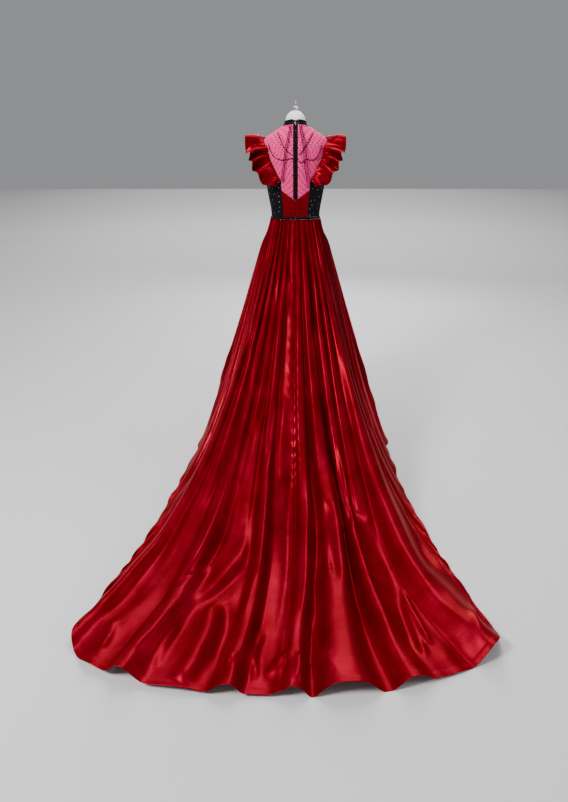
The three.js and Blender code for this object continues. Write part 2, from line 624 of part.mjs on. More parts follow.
// The bodice: satin behind in two halves and before in one, and a dark panel round each side.
function buildBodice() {
  const inner = BODY_CLEARANCE;
  const outer = BODY_CLEARANCE + SATIN;
  const trim = [SEAM_GAP, SEAM_GAP, 0, SEAM_GAP];

  const backHalf = (u, v) => {
    const line = backLine(mix(BODICE_FOOT, BACK_V_CORNER, v));
    const height = mix(BODICE_FOOT, mix(BACK_V_HEIGHT, BACK_V_CORNER, u), v);
    return formSkin(line.turn * u, height);
  };
  const seamTrim = [SEAM_GAP / 2, SEAM_GAP, 0, SEAM_GAP];
  const seamTrimLeft = [SEAM_GAP, SEAM_GAP / 2, 0, SEAM_GAP];
  const halfRight = wall(backHalf, share(6), share(4), inner, outer, { trim: seamTrim });
  const halfLeft = wall(mirrored(backHalf), share(6), share(4), inner, outer, { trim: seamTrimLeft });
  add("bodice_back_right", halfRight, "red_satin");
  add("bodice_back_left", halfLeft, "red_satin");

  const sideTop = [
    backLineHigh,
    { turn: turnOf(96, 1364), height: 1364 },
    { turn: turnOf(124, 1380), height: 1380 },
    { turn: Math.PI / 2, height: 1388 },
    { turn: turnOf(122, 1393, true), height: 1393 },
    armholeBefore[0],
    { turn: frontLineHigh.turn, height: neckline(frontLineHigh.turn) },
  ];
  const sidePanel = (u, v) => {
    const top = rowAt(sideTop, u * (sideTop.length - 1));
    const footTurn = mix(backLineLow.turn, frontLineLow.turn, u);
    return formSkin(mix(footTurn, top.turn, v), mix(BODICE_FOOT, top.height, v));
  };
  add("bodice_side_right", wall(sidePanel, share(12), share(7), inner, outer, { trim }), "black_cloth");
  add("bodice_side_left", wall(mirrored(sidePanel), share(12), share(7), inner, outer, { trim }), "black_cloth");

  const frontPanel = (u, v) => {
    const topTurn = mix(frontLineHigh.turn, 2 * Math.PI - frontLineHigh.turn, u);
    const footTurn = mix(frontLineLow.turn, 2 * Math.PI - frontLineLow.turn, u);
    return formSkin(mix(footTurn, topTurn, v), mix(BODICE_FOOT, neckline(topTurn), v));
  };
  add("bodice_front", wall(frontPanel, share(12), share(7), inner, outer, { trim }), "red_satin");
}

// The collar and the waist band: a band round the neck, open at the zip, and a piping round the waist.
function buildBands() {
  const open = turnOf(ZIP_EDGE + SEAM_GAP, NECK_TOP);
  const collar = (turn, v) => {
    const nearer = turn > Math.PI ? 2 * Math.PI - turn : turn;
    return formSkin(turn, collarSeam(nearer) + v * COLLAR_HEIGHT);
  };
  const quarter = Math.PI / 2;
  const behind = share(6).slice(0, -1).map((t) => mix(open, quarter, t));
  const before = share(14).map((t) => mix(quarter, 3 * quarter, t));
  const turns = [...behind, ...before, ...behind.map((turn) => 2 * Math.PI - turn).reverse()];
  const collarWall = [BODY_CLEARANCE - 0.4, BODY_CLEARANCE - 0.4 + SATIN];
  const trim = [SEAM_GAP, SEAM_GAP, 2 * SEAM_GAP, 0];
  add("collar", wall(collar, turns, share(3), ...collarWall, { trim }), "black_cloth");

  const band = (u, v) => formSkin(u * 2 * Math.PI, WAIST_HEIGHT + v * WAIST_BAND_HEIGHT);
  const around = share(36).slice(0, -1);
  add("waist_band", wall(band, around, share(1), BODY_CLEARANCE, WAIST_BAND_OUT, { closed: true }), "black_cloth");
}

// The centre back zip: two tapes, the chain between them, and at its top the slider that carries the pull tab.
// A strip of it follows the back between two distances from the middle, and starts at the lower back's edge.
const ZIP_TOP = NAPE_HEIGHT + COLLAR_HEIGHT - 5;
function zipStrip(fromSide, toSide) {
  return (u, v) => {
    const side = mix(fromSide, toSide, u);
    const foot = backEdgeHeight(turnOf(side, BACK_V_HEIGHT)) + 2 * SEAM_GAP;
    const height = mix(foot, ZIP_TOP, v);
    return formSkin(Math.sign(side) * turnOf(side, height), height);
  };
}

function buildZip() {
  const rows = share(16);
  const tapeEdge = ZIP_CHAIN_HALF_WIDTH + SEAM_GAP;
  const tape = [BODY_CLEARANCE, BODY_CLEARANCE + TULLE];
  const tapeRight = zipStrip(tapeEdge, ZIP_EDGE - SEAM_GAP);
  const tapeLeft = zipStrip(SEAM_GAP - ZIP_EDGE, -tapeEdge);
  add("zip_tape_right", wall(tapeRight, share(1), rows, ...tape), "black_cloth");
  add("zip_tape_left", wall(tapeLeft, share(1), rows, ...tape), "black_cloth");
  const chainFace = BODY_CLEARANCE + ZIP_CHAIN_WALL;
  const chain = zipStrip(-ZIP_CHAIN_HALF_WIDTH, ZIP_CHAIN_HALF_WIDTH);
  add("zip_chain", wall(chain, share(2), rows, BODY_CLEARANCE, chainFace), "black_bead");

  // The slider lies along the sloping chain, and its hook curls over the round bar of the tab hanging from it.
  const chainAt = (height) => lifted(formSkin, 0, height, chainFace + SLIDER_LIFT);
  const tiltBetween = (high, low) => {
    const run = chainAt(high).sub(chainAt(low));
    return Math.atan2(run.y, run.z);
  };
  const arc = (radius, from, to, count) => share(count).map((t) => {
    const angle = mix(from, to, t);
    return [radius * Math.cos(angle), radius * Math.sin(angle)];
  });
  const onPivot = ([out, down]) => [out + PULL_PIVOT_OUT, down + PULL_PIVOT_DOWN];
  const hookInside = arc(1.3, -2.9, -0.25, 7).map(onPivot);
  const hookOutside = arc(2.2, -0.25, -1.6, 5).map(onPivot);
  const sliderOutline = [[0, -5], [0, 5], [1.4, 5], [1.4, -1], ...hookInside, ...hookOutside, [1.2, -5]];
  const sliderTilt = tiltBetween(SLIDER_HEIGHT + 5, SLIDER_HEIGHT - 5);
  const seat = chainAt(SLIDER_HEIGHT);
  const slider = sideSolid(sliderOutline, SLIDER_WIDTH).rotateX(-sliderTilt).translate(0, seat.y, seat.z);
  add("zip_slider", slider, "silver");
  const pivot = new THREE.Vector3(0, -PULL_PIVOT_OUT, -PULL_PIVOT_DOWN);
  pivot.applyAxisAngle(new THREE.Vector3(1, 0, 0), -sliderTilt).add(seat);
  const bar = arc(0.9, 0.72, 2 * Math.PI - 0.72, 8).map(([out, down]) => [-down, out]);
  const pullOutline = [...bar, [0.6, PULL_LENGTH], [-0.6, PULL_LENGTH]];
  const pullTilt = tiltBetween(SLIDER_HEIGHT, SLIDER_HEIGHT - PULL_LENGTH);
  const pull = sideSolid(pullOutline, PULL_WIDTH).rotateX(-pullTilt).translate(pivot.x, pivot.y, pivot.z);
  add("zip_pull", pull, "silver");
}

// The flutter ruffle of a cap sleeve: its surface runs along the armhole and outwards.
function ruffleSkin(along, reach) {
  const at = clamp(along, 0, 1) * (RUFFLE_ROWS.length - 1);
  const row = rowAt(RUFFLE_ROWS, at);
  const turns = RUFFLE_ROWS.map(({ side, height, face }) => ({
    turn: face === 0 ? Math.PI / 2 : turnOf(side, height, face > 0), height,
  }));
  const { turn, height } = rowAt(turns, at);
  const skin = (u, v) => formSkin(turn + u, height + v);
  const root = lifted(skin, 0, 0, BODY_CLEARANCE + SATIN + 2 * SEAM_GAP + RUFFLE_WALL / 2);
  const out = new THREE.Vector3(row.out, row.ahead, row.rise);
  const ahead = rowAt(turns, Math.min(at + 0.02, RUFFLE_ROWS.length - 1));
  const behind = rowAt(turns, Math.max(at - 0.02, 0));
  const run = formSkin(ahead.turn, ahead.height).sub(formSkin(behind.turn, behind.height));
  const across = run.cross(out).normalize();
  const uneven = along + 0.02 * Math.sin(2 * Math.PI * 2.5 * along + 0.5);
  const wave = Math.sin(2 * Math.PI * RUFFLE_WAVES * uneven) * row.wave * reach * 1.15;
  const arch = 12 * Math.sin(Math.PI * reach) * 0.5;
  const point = root.addScaledVector(out, reach).addScaledVector(across, wave);
  point.z += arch - 10 * reach * reach * (row.out / 90);
  return point;
}

function buildRuffles() {
  const along = share(48);
  const reach = share(3);
  const half = RUFFLE_WALL / 2;
  add("ruffle_right", wall(ruffleSkin, along, reach, -half, half), "red_satin");
  add("ruffle_left", wall(mirrored(ruffleSkin), along, reach, -half, half), "red_satin");
}

// A point over the back of the yoke, a little way out from its outer face.
function overBack(side, height, out) {
  const turn = Math.sign(side) * turnOf(side, height);
  return lifted((u, v) => formSkin(turn + u, height + v), 0, 0, BODY_CLEARANCE + TULLE + out);
}

function buildBeadStrings() {
  const section = new THREE.Shape();
  for (let k = 0; k < BEAD_TUBE_SIDES; k += 1) {
    const angle = (k / BEAD_TUBE_SIDES) * 2 * Math.PI;
    const corner = [Math.cos(angle) * (BEAD_DIAMETER / 2), Math.sin(angle) * (BEAD_DIAMETER / 2)];
    if (k === 0) section.moveTo(...corner);
    else section.lineTo(...corner);
  }
  section.closePath();
  for (const [name, { layer, route }] of Object.entries(BEAD_STRINGS)) {
    const out = BEAD_LIFT + BEAD_DIAMETER / 2 + layer * (BEAD_DIAMETER + 2 * SEAM_GAP);
    const points = route.map(([side, height]) => overBack(side, height, out));
    const path = new THREE.CatmullRomCurve3(points);
    const steps = Math.ceil(path.getLength() / BEAD_TUBE_STEP);
    const tube = new THREE.ExtrudeGeometry(section, { steps, extrudePath: path, bevelEnabled: false });
    add(`beads_${name}`, tube, "black_bead");
  }
}

buildDressForm();
buildSkirt();
buildYoke();
buildBodice();
buildBands();
buildZip();
buildRuffles();
buildBeadStrings();

export default group;
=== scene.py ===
"""A long satin gown with a sheer yoke, flutter sleeves and a train, worn by a limbless dress form on a stand.

Sizes in the tables are in millimetres, as in the part's source; every mesh is made in metres.
"""

import logging
import math
from dataclasses import dataclass, field
from enum import Enum
from typing import Callable, Sequence

import bpy
import bmesh
import numpy as np
from mathutils import Matrix, Vector

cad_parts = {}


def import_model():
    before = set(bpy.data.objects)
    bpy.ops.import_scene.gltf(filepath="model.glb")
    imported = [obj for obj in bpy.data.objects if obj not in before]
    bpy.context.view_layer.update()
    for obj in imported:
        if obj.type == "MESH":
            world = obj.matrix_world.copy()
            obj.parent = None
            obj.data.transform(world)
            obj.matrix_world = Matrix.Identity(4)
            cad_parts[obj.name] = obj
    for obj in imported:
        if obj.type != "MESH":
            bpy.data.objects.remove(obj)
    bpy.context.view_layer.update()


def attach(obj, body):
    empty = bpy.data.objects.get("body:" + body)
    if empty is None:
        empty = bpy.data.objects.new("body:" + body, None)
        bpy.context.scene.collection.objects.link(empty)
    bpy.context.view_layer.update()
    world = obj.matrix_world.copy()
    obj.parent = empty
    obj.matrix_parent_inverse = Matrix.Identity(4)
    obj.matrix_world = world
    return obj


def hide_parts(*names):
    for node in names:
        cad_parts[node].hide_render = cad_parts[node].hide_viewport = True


LOG = logging.getLogger("gown")
MM = 0.001
BODY = "gown_on_form"
TAB_BODY = "zip_tab"

WAIST_HEIGHT = 1170.0
WAIST_SIDE = 124.0
WAIST_DEPTH = 86.0
WAIST_BAND_HEIGHT = 10.0
WAIST_BAND_OUT = 7.0
NAPE_HEIGHT = 1588.0
COLLAR_HEIGHT = 22.0
SATIN = 2.0
TULLE = 1.0
SKIRT_WALL = 2.2
BODY_CLEARANCE = 2.2
SKIRT_SEAM = 0.15
PANEL_SEAM = 0.2
FLOOR_GAP = 0.4
BEAD_DIAMETER = 4.2
BEAD_LIFT = 1.4
THREAD_SHARE = 0.55
NECK_TOP = 1600.0
ZIP_EDGE = 10.7
SLIDER_HEIGHT = 1592.0

# Dress form levels: height, half width, depth behind the axis and before it.
FORM_LEVELS = np.array([
    (905, 138, 94, 84), (960, 148, 100, 90), (1020, 147, 98, 90), (1080, 134, 88, 84),
    (1130, 121, 80, 79), (1170, 115, 76, 76), (1215, 118, 78, 82), (1265, 127, 84, 95),
    (1315, 136, 90, 114), (1360, 142, 95, 125), (1405, 146, 98, 115), (1445, 151, 99, 96),
    (1480, 157, 96, 80), (1506, 158, 90, 69), (1524, 147, 84, 61), (1540, 125, 77, 55),
    (1556, 98, 69, 52), (1570, 74, 60, 50), (1582, 56, 53, 49), (1600, 47, 47, 49),
    (1625, 46, 46, 48),
], float)
FORM_SQUARENESS = 2.15

# The hem's outline on the floor: side and ahead, from the middle of the train to the middle of the front.
HEM_OUTLINE = np.array([
    (0, -1790), (240, -1780), (460, -1732), (640, -1655), (704, -1550), (670, -1400), (618, -1180),
    (574, -930), (540, -640), (520, -340), (500, -60), (426, 190), (300, 370), (150, 465), (0, 490),
], float)
TRAIN_SWAY = -30.0
CORNER_WIDER = 12.0
CORNER_LONGER = 14.0

# Folds behind, from the middle of the back: width, depth near the waist, depth near the hem.
FOLDS_BACK_RIGHT = [(0.8, 0.45, 0.7), (1.35, 1.0, 1.4), (0.95, 1.2, 0.85), (0.9, 1.0, -0.35),
                    (1.4, 1.1, 1.5), (0.85, 1.1, -0.2)]
FOLDS_BACK_LEFT = [(1.05, 0.45, -0.45), (0.9, 0.9, 1.3), (0.85, 1.2, -0.3), (0.95, 1.0, 1.2),
                   (0.85, 1.1, -0.2), (1.35, 1.0, 1.45)]
HIDDEN_FOLD_COUNT = 30
FOLD_DEPTH_SHARE = 0.25
BACK_GORE_FOLDS = 4
SIDE_GORE_FOLDS = 12

# Ruffle rows from the low end behind, over the shoulder: side, height, face, out, ahead, rise, wave.
RUFFLE_ROWS = np.array([
    (68, 1348, -1, 22, -14, -24, 3), (82, 1371, -1, 58, -30, -34, 15), (106, 1419, -1, 76, -34, -32, 20),
    (121, 1457, -1, 86, -32, -22, 22), (132, 1495, -1, 90, -24, -6, 20), (141, 1531, 0, 86, 0, 4, 17),
    (130, 1508, 1, 90, 24, -8, 20), (118, 1478, 1, 86, 32, -22, 22), (106, 1440, 1, 72, 34, -32, 18),
    (97, 1403, 1, 30, 20, -28, 4),
], float)
RUFFLE_WAVES = 9

# Bead strings across the back: layer over the tulle, then the side and height of each point of the route.
BEAD_STRINGS = {
    "left_swag": (0, [(-122, 1500), (-114, 1476), (-100, 1453), (-80, 1440), (-60, 1436), (-40, 1438),
        (-15, 1444)]),
    "left_neck": (0, [(-80, 1545), (-69, 1523), (-57, 1497), (-43, 1479), (-28, 1466), (-15, 1456)]),
    "left_fall_outer": (1, [(-23, 1577), (-29, 1552), (-38, 1514), (-47, 1478), (-52, 1440), (-57, 1400),
        (-62, 1366), (-62, 1346)]),
    "left_fall_inner": (1, [(-17, 1577), (-22, 1552), (-31, 1514), (-40, 1478), (-44, 1440), (-49, 1400),
        (-54, 1366), (-55, 1340)]),
    "right_fall_inner": (1, [(17, 1577), (22, 1552), (29, 1518), (35, 1483), (38, 1440), (43, 1395),
        (50, 1350), (55, 1316)]),
    "right_fall_outer": (1, [(23, 1577), (30, 1552), (40, 1518), (47, 1478), (51, 1440), (56, 1395),
        (61, 1366), (62, 1350)]),
    "right_neck": (0, [(78, 1545), (65, 1523), (51, 1499), (38, 1483), (25, 1467), (15, 1458)]),
    "right_swag": (0, [(118, 1498), (112, 1474), (99, 1448), (80, 1437), (64, 1437), (50, 1440),
        (38, 1429), (24, 1427), (15, 1431)]),
}

# Ridges (+) and troughs (-) of the skirt: how deep and how wide in millimetres, then the
# route. Each point of a route is folds from the centre back seam (right +) and the share of the way out.
TRAIN_CREASES = [
    (15, 26, [(-3.46, 0.32), (-3.17, 0.41), (-3.12, 0.50), (-3.25, 0.60), (-3.5, 0.70), (-3.6, 0.80)]),
    (13, 30, [(-1.9, 0.58), (-2.1, 0.66), (-2.6, 0.73), (-3.1, 0.80), (-3.5, 0.88)]),
    (-11, 26, [(-2.0, 0.70), (-2.4, 0.76), (-2.9, 0.82)]),
    (19, 34, [(-2.67, 0.79), (-2.42, 0.86), (-2.33, 0.95), (-2.42, 0.99)]),
    (-12, 26, [(-2.3, 0.79), (-1.98, 0.86), (-1.9, 0.95)]),
    (13, 14, [(-1.46, 0.74), (-1.62, 0.84), (-1.70, 0.91), (-1.55, 0.945), (-1.35, 0.93)]),
    (-16, 40, [(-4.3, 0.58), (-4.58, 0.72), (-4.75, 0.80), (-5.1, 0.90)]),
    (10, 16, [(-3.38, 0.84), (-3.42, 0.90), (-3.54, 0.96)]),
    (9, 13, [(-3.12, 0.85), (-3.12, 0.91), (-3.0, 0.97)]),
    (-14, 22, [(1.7, 0.38), (2.2, 0.47), (2.8, 0.55), (3.5, 0.60)]),
    (-17, 20, [(1.46, 0.55), (1.52, 0.64), (1.6, 0.76)]),
    (19, 34, [(2.15, 0.55), (2.6, 0.66), (2.72, 0.79), (2.3, 0.95)]),
    (-14, 30, [(3.2, 0.59), (3.7, 0.70), (3.55, 0.82), (2.8, 0.95)]),
    (-17, 44, [(5.4, 0.50), (5.2, 0.62), (4.6, 0.77), (4.4, 0.93)]),
    (11, 12, [(3.75, 0.80), (3.42, 0.88), (3.1, 0.95)]),
    (15, 20, [(-0.55, 0.965), (-0.2, 0.935), (0.15, 0.92)]),
    (16, 18, [(0.4, 0.99), (0.55, 0.95), (0.45, 0.925)]),
    (14, 20, [(1.3, 0.975), (1.15, 0.94), (0.9, 0.915)]),
    (-13, 26, [(-0.1, 0.46), (-0.2, 0.58), (-0.1, 0.74), (-0.2, 0.89)]),
    (10, 22, [(0.72, 0.50), (0.82, 0.68), (0.76, 0.84)]),
    (13, 24, [(-1.25, 0.42), (-1.2, 0.59), (-1.32, 0.75)]),
    (9, 16, [(-0.62, 0.30), (-0.66, 0.40), (-0.52, 0.50)]),
    (-11, 10, [(-2.9, 0.07), (-2.4, 0.134), (-2.33, 0.198), (-2.25, 0.277), (-2.3, 0.38)]),
    (-9, 8, [(-1.5, 0.03), (-1.04, 0.065), (-0.6, 0.111), (-0.55, 0.15)]),
    (-10, 10, [(-1.05, 0.11), (-1.12, 0.198), (-1.17, 0.277), (-1.38, 0.383), (-1.4, 0.46)]),
    (-12, 11, [(1.9, 0.03), (2.0, 0.073), (2.0, 0.141), (1.65, 0.202), (1.65, 0.25), (1.75, 0.32)]),
    (-12, 13, [(4.2, 0.03), (4.42, 0.077), (4.46, 0.141), (4.33, 0.205), (4.17, 0.311), (4.1, 0.40)]),
    (-14, 17, [(-4.46, 0.03), (-5.42, 0.062), (-6.1, 0.107), (-6.0, 0.152), (-5.3, 0.205), (-4.75, 0.285)]),
    (10, 24, [(-4.3, 0.10), (-4.1, 0.20), (-3.4, 0.285), (-3.2, 0.364)]),
    (8, 30, [(0.6, 0.10), (0.3, 0.20), (0.1, 0.30), (0.0, 0.42)]),
    (10, 20, [(3.2, 0.06), (3.3, 0.14), (3.1, 0.22), (2.9, 0.32)]),
    (-13, 12, [(-2.95, 0.50), (-3.0, 0.62), (-3.3, 0.72), (-3.9, 0.82)]),
    (-12, 11, [(2.35, 0.40), (2.5, 0.52), (2.45, 0.60), (2.15, 0.63)]),
    (12, 10, [(3.9, 0.78), (3.7, 0.86), (3.45, 0.93)]),
    (-12, 13, [(0.95, 0.58), (1.0, 0.70), (1.15, 0.84), (1.1, 0.93)]),
    (12, 12, [(4.9, 0.90), (4.6, 0.925), (4.4, 0.96)]),
    (-10, 11, [(5.1, 0.92), (4.85, 0.945), (4.65, 0.975)]),
    (11, 12, [(-4.9, 0.90), (-4.6, 0.93), (-4.5, 0.97)]),
    (12, 13, [(-0.9, 0.86), (-1.0, 0.92), (-0.8, 0.97)]),
]
HIDDEN_CREASE_COUNT = 34


class Side(Enum):
    """Which side of the gown a piece is on, seen from behind."""

    RIGHT = "right"
    LEFT = "left"


class Hold(Enum):
    GATHERED = "gathered"
    STRETCHED = "stretched"
    FOLDED = "folded"


def mix(a: float | np.ndarray, b: float | np.ndarray, t: float | np.ndarray) -> float | np.ndarray:
    """Go from a to b by the share t, for numbers and arrays alike."""
    return a + (b - a) * t


def smooth(low: float, high: float, x: np.ndarray) -> np.ndarray:
    """Rise softly from 0 at low to 1 at high."""
    t = np.clip((np.asarray(x, float) - low) / (high - low), 0, 1)
    return t * t * (3 - 2 * t)


def unit(vectors: np.ndarray) -> np.ndarray:
    """The same directions at a length of one."""
    return vectors / np.maximum(np.linalg.norm(vectors, axis=-1, keepdims=True), 1e-9)


def row_at(table: np.ndarray, at: np.ndarray) -> np.ndarray:
    """Read a table on a smooth curve through its rows.

    Args:
        table: rows of numbers.
        at: row numbers that need not be whole.

    Returns:
        The rows read, with the table's columns last.
    """
    at = np.asarray(at, float)
    last = len(table) - 1
    i = np.clip(np.floor(at), 0, last - 1).astype(int)
    t = (np.clip(at, 0, last) - i)[..., None]
    p, a, b, q = (table[np.clip(i + k, 0, last)] for k in (-1, 0, 1, 2))
    bend = 2 * t ** 3 - 3 * t ** 2
    return (a * (bend + 1) - b * bend
            + (b - p) / 2 * (t ** 3 - 2 * t ** 2 + t) + (q - a) / 2 * (t ** 3 - t ** 2))


_LEVEL_STEPS = np.linspace(0, len(FORM_LEVELS) - 1, 6000)
_LEVEL_HEIGHTS = row_at(FORM_LEVELS, _LEVEL_STEPS)[:, 0]


def level_at(height: np.ndarray) -> np.ndarray:
    """The dress form's row number at a height."""
    return np.interp(height, _LEVEL_HEIGHTS, _LEVEL_STEPS)


def form_skin(turn: np.ndarray, height: np.ndarray) -> np.ndarray:
    """Points of the dress form's skin.

    Args:
        turn: 0 behind, a quarter circle at +X, a half circle in front.
        height: millimetres above the floor.

    Returns:
        Points in millimetres, the coordinates last.
    """
    turn, height = np.broadcast_arrays(np.asarray(turn, float), np.asarray(height, float))
    level = row_at(FORM_LEVELS, level_at(height))
    power = 2 / FORM_SQUARENESS
    across, along = np.sin(turn), np.cos(turn)
    depth = np.where(along > 0, level[..., 2], level[..., 3])
    return np.stack([
        level[..., 1] * np.sign(across) * np.abs(across) ** power,
        -depth * np.sign(along) * np.abs(along) ** power,
        level[..., 0],
    ], axis=-1)


def turn_of(side: np.ndarray, height: np.ndarray, front: bool = False) -> np.ndarray:
    """The turn at which the skin lies this far to the side, behind the axis or before it.

    Args:
        side: millimetres from the middle.
        height: millimetres above the floor.
        front: take the place before the axis.

    Returns:
        The turn.
    """
    width = row_at(FORM_LEVELS, level_at(height))[..., 1]
    turn = np.arcsin(np.clip(np.abs(side) / width, 0, 1) ** (FORM_SQUARENESS / 2))
    return math.pi - turn if front else turn


def skin_normal(turn: np.ndarray, height: np.ndarray) -> np.ndarray:
    """Outward unit normals of the dress form's skin.

    Args:
        turn: 0 behind, a half circle in front.
        height: millimetres above the floor.

    Returns:
        The normals.
    """
    step = 1e-3
    right = form_skin(turn + step, height) - form_skin(turn - step, height)
    up = form_skin(turn, height + 0.5) - form_skin(turn, height - 0.5)
    return unit(np.cross(right, up))


def over_form(turn: np.ndarray, height: np.ndarray, out: np.ndarray) -> np.ndarray:
    """Points a distance out from the dress form's skin."""
    return form_skin(turn, height) + skin_normal(turn, height) * np.asarray(out, float)[..., None]


class SoftNoise:
    """Smooth seeded noise from -1 to 1 that closes on itself along its first number."""

    def __init__(self, seed: int, around: int, along: int = 64) -> None:
        """Fill a lattice of so many points around and along from a seed."""
        self.lattice = np.random.default_rng(seed).uniform(-1, 1, (around, along))

    def at(self, around: np.ndarray, along: np.ndarray) -> np.ndarray:
        """Read the noise.

        Args:
            around: 0 to 1 once round.
            along: lattice steps along.

        Returns:
            Values from about -1 to 1.
        """
        wide, deep = self.lattice.shape
        x = np.mod(np.asarray(around, float), 1) * wide
        y = np.mod(np.asarray(along, float), deep)
        i, j = np.floor(x).astype(int), np.floor(y).astype(int)
        s, t = x - i, y - j
        s, t = s * s * (3 - 2 * s), t * t * (3 - 2 * t)

        def corner(a: int, b: int) -> np.ndarray:
            """The lattice's values at one corner of each cell."""
            return self.lattice[(i + a) % wide, (j + b) % deep]

        return mix(mix(corner(0, 0), corner(1, 0), s), mix(corner(0, 1), corner(1, 1), s), t)


class NodeBoard:
    """A material's node tree, with short ways to add and join its nodes."""

    def __init__(self, name: str) -> None:
        """Start an empty node material with its output.

        Args:
            name: the material's name.
        """
        self.material = bpy.data.materials.new(name)
        self.material.use_nodes = True
        self.tree = self.material.node_tree
        self.tree.nodes.clear()
        self.output = self.tree.nodes.new("ShaderNodeOutputMaterial")
        self.shader = self.tree.nodes.new("ShaderNodeBsdfPrincipled")
        self.join(self.shader.outputs[0], self.output.inputs["Surface"])

    def add(self, kind: str, values: dict | None = None, **settings: object) -> bpy.types.Node:
        """Add a node.

        Args:
            kind: the node type's name.
            values: socket values by socket name or number.
            settings: attributes of the node.

        Returns:
            The node.
        """
        node = self.tree.nodes.new(kind)
        for key, value in settings.items():
            setattr(node, key, value)
        for key, value in (values or {}).items():
            node.inputs[key].default_value = value
        return node

    def set(self, values: dict) -> None:
        """Give the shader's own sockets their values, by name."""
        for name, value in values.items():
            self.shader.inputs[name].default_value = value

    def join(self, source: bpy.types.NodeSocket, target: bpy.types.NodeSocket) -> None:
        """Link two sockets."""
        self.tree.links.new(source, target)

    def uv(self, scale: Sequence[float] = (1, 1, 1)) -> bpy.types.NodeSocket:
        """The cloth's own flat coordinates in metres, scaled.

        Args:
            scale: by how much, each way.

        Returns:
            The coordinates' socket.
        """
        place = self.add("ShaderNodeUVMap", uv_map="cloth")
        mapping = self.add("ShaderNodeMapping", {"Scale": scale})
        self.join(place.outputs[0], mapping.inputs["Vector"])
        return mapping.outputs[0]

    def place(self, scale: Sequence[float] = (1, 1, 1)) -> bpy.types.NodeSocket:
        """Object coordinates, scaled.

        Args:
            scale: by how much, each way.

        Returns:
            The coordinates' socket.
        """
        coords = self.add("ShaderNodeTexCoord")
        mapping = self.add("ShaderNodeMapping", {"Scale": scale})
        self.join(coords.outputs["Object"], mapping.inputs["Vector"])
        return mapping.outputs[0]

    def noise(self, vector: bpy.types.NodeSocket, scale: float, detail: float = 3.0) -> bpy.types.NodeSocket:
        """A noise texture's value.

        Args:
            vector: the coordinates.
            scale: its fineness.
            detail: its octaves.

        Returns:
            The value's socket.
        """
        node = self.add("ShaderNodeTexNoise", {"Scale": scale, "Detail": detail, "Roughness": 0.55})
        self.join(vector, node.inputs["Vector"])
        return node.outputs["Fac"]

    def ramp(self, source: bpy.types.NodeSocket, stops: Sequence[tuple]) -> bpy.types.NodeSocket:
        """A colour ramp over a value.

        Args:
            source: the value.
            stops: position and colour pairs.

        Returns:
            The ramp's colour.
        """
        node = self.add("ShaderNodeValToRGB")
        bar = node.color_ramp
        while len(bar.elements) < len(stops):
            bar.elements.new(0.5)
        for element, (position, colour) in zip(bar.elements, stops):
            element.position = position
            element.color = colour
        self.join(source, node.inputs["Fac"])
        return node.outputs["Color"]

    def span(self, source: bpy.types.NodeSocket, low: float, high: float,
             start: float = 0.0, end: float = 1.0) -> bpy.types.NodeSocket:
        """Map a value from start..end to low..high.

        Args:
            source: the value.
            low: what start becomes.
            high: what end becomes.
            start: where the value starts.
            end: where it ends.

        Returns:
            The value's socket.
        """
        node = self.add("ShaderNodeMapRange", {1: start, 2: end, 3: low, 4: high})
        self.join(source, node.inputs[0])
        return node.outputs[0]

    def sum(self, a: bpy.types.NodeSocket, b: bpy.types.NodeSocket, how: str = "ADD") -> bpy.types.NodeSocket:
        """Join two values with a math operation.

        Args:
            a: the first value.
            b: the second value.
            how: the operation.

        Returns:
            The value's socket.
        """
        node = self.add("ShaderNodeMath", operation=how)
        self.join(a, node.inputs[0])
        self.join(b, node.inputs[1])
        return node.outputs[0]

    def times(self, a: bpy.types.NodeSocket, by: float) -> bpy.types.NodeSocket:
        """Scale a value.

        Args:
            a: the value.
            by: the factor.

        Returns:
            The value's socket.
        """
        node = self.add("ShaderNodeMath", {1: by}, operation="MULTIPLY")
        self.join(a, node.inputs[0])
        return node.outputs[0]

    def bump(self, height: bpy.types.NodeSocket, strength: float, distance: float) -> None:
        """Give the shader a bump.

        Args:
            height: the height's socket.
            strength: 0 to 1.
            distance: metres.
        """
        node = self.add("ShaderNodeBump", {"Strength": strength, "Distance": distance})
        self.join(height, node.inputs["Height"])
        self.join(node.outputs[0], self.shader.inputs["Normal"])


@dataclass(frozen=True)
class SatinFinish:
    """Glossy woven satin with a fine lengthwise grain and faint crushed marks."""

    name: str = "red_satin"
    dark: tuple = (0.135, 0.0006, 0.004, 1)
    bright: tuple = (0.25, 0.0012, 0.015, 1)
    roughness: float = 0.38
    sheen: float = 0.02

    def material(self) -> bpy.types.Material:
        """Build the satin.

        Returns:
            The material.
        """
        board = NodeBoard(self.name)
        shader = board.shader
        board.set({"Metallic": 0.68, "Specular IOR Level": 0.2, "Specular Tint": (1.0, 0.11, 0.15, 1),
                   "Sheen Weight": self.sheen, "Sheen Roughness": 0.45, "Sheen Tint": (0.9, 0.12, 0.14, 1)})
        cloud = board.noise(board.uv(), 7.0, 4.0)
        board.join(board.ramp(cloud, [(0.3, self.dark), (0.72, self.bright)]), shader.inputs["Base Color"])
        grain = board.noise(board.uv((900, 60, 1)), 1.0, 2.0)
        rough = board.span(grain, self.roughness - 0.05, self.roughness + 0.08)
        board.join(rough, shader.inputs["Roughness"])
        crush = board.noise(board.uv(), 55.0, 5.0)
        board.bump(board.sum(board.times(grain, 0.25), board.times(crush, 0.9)), 0.35, 0.0012)
        return board.material


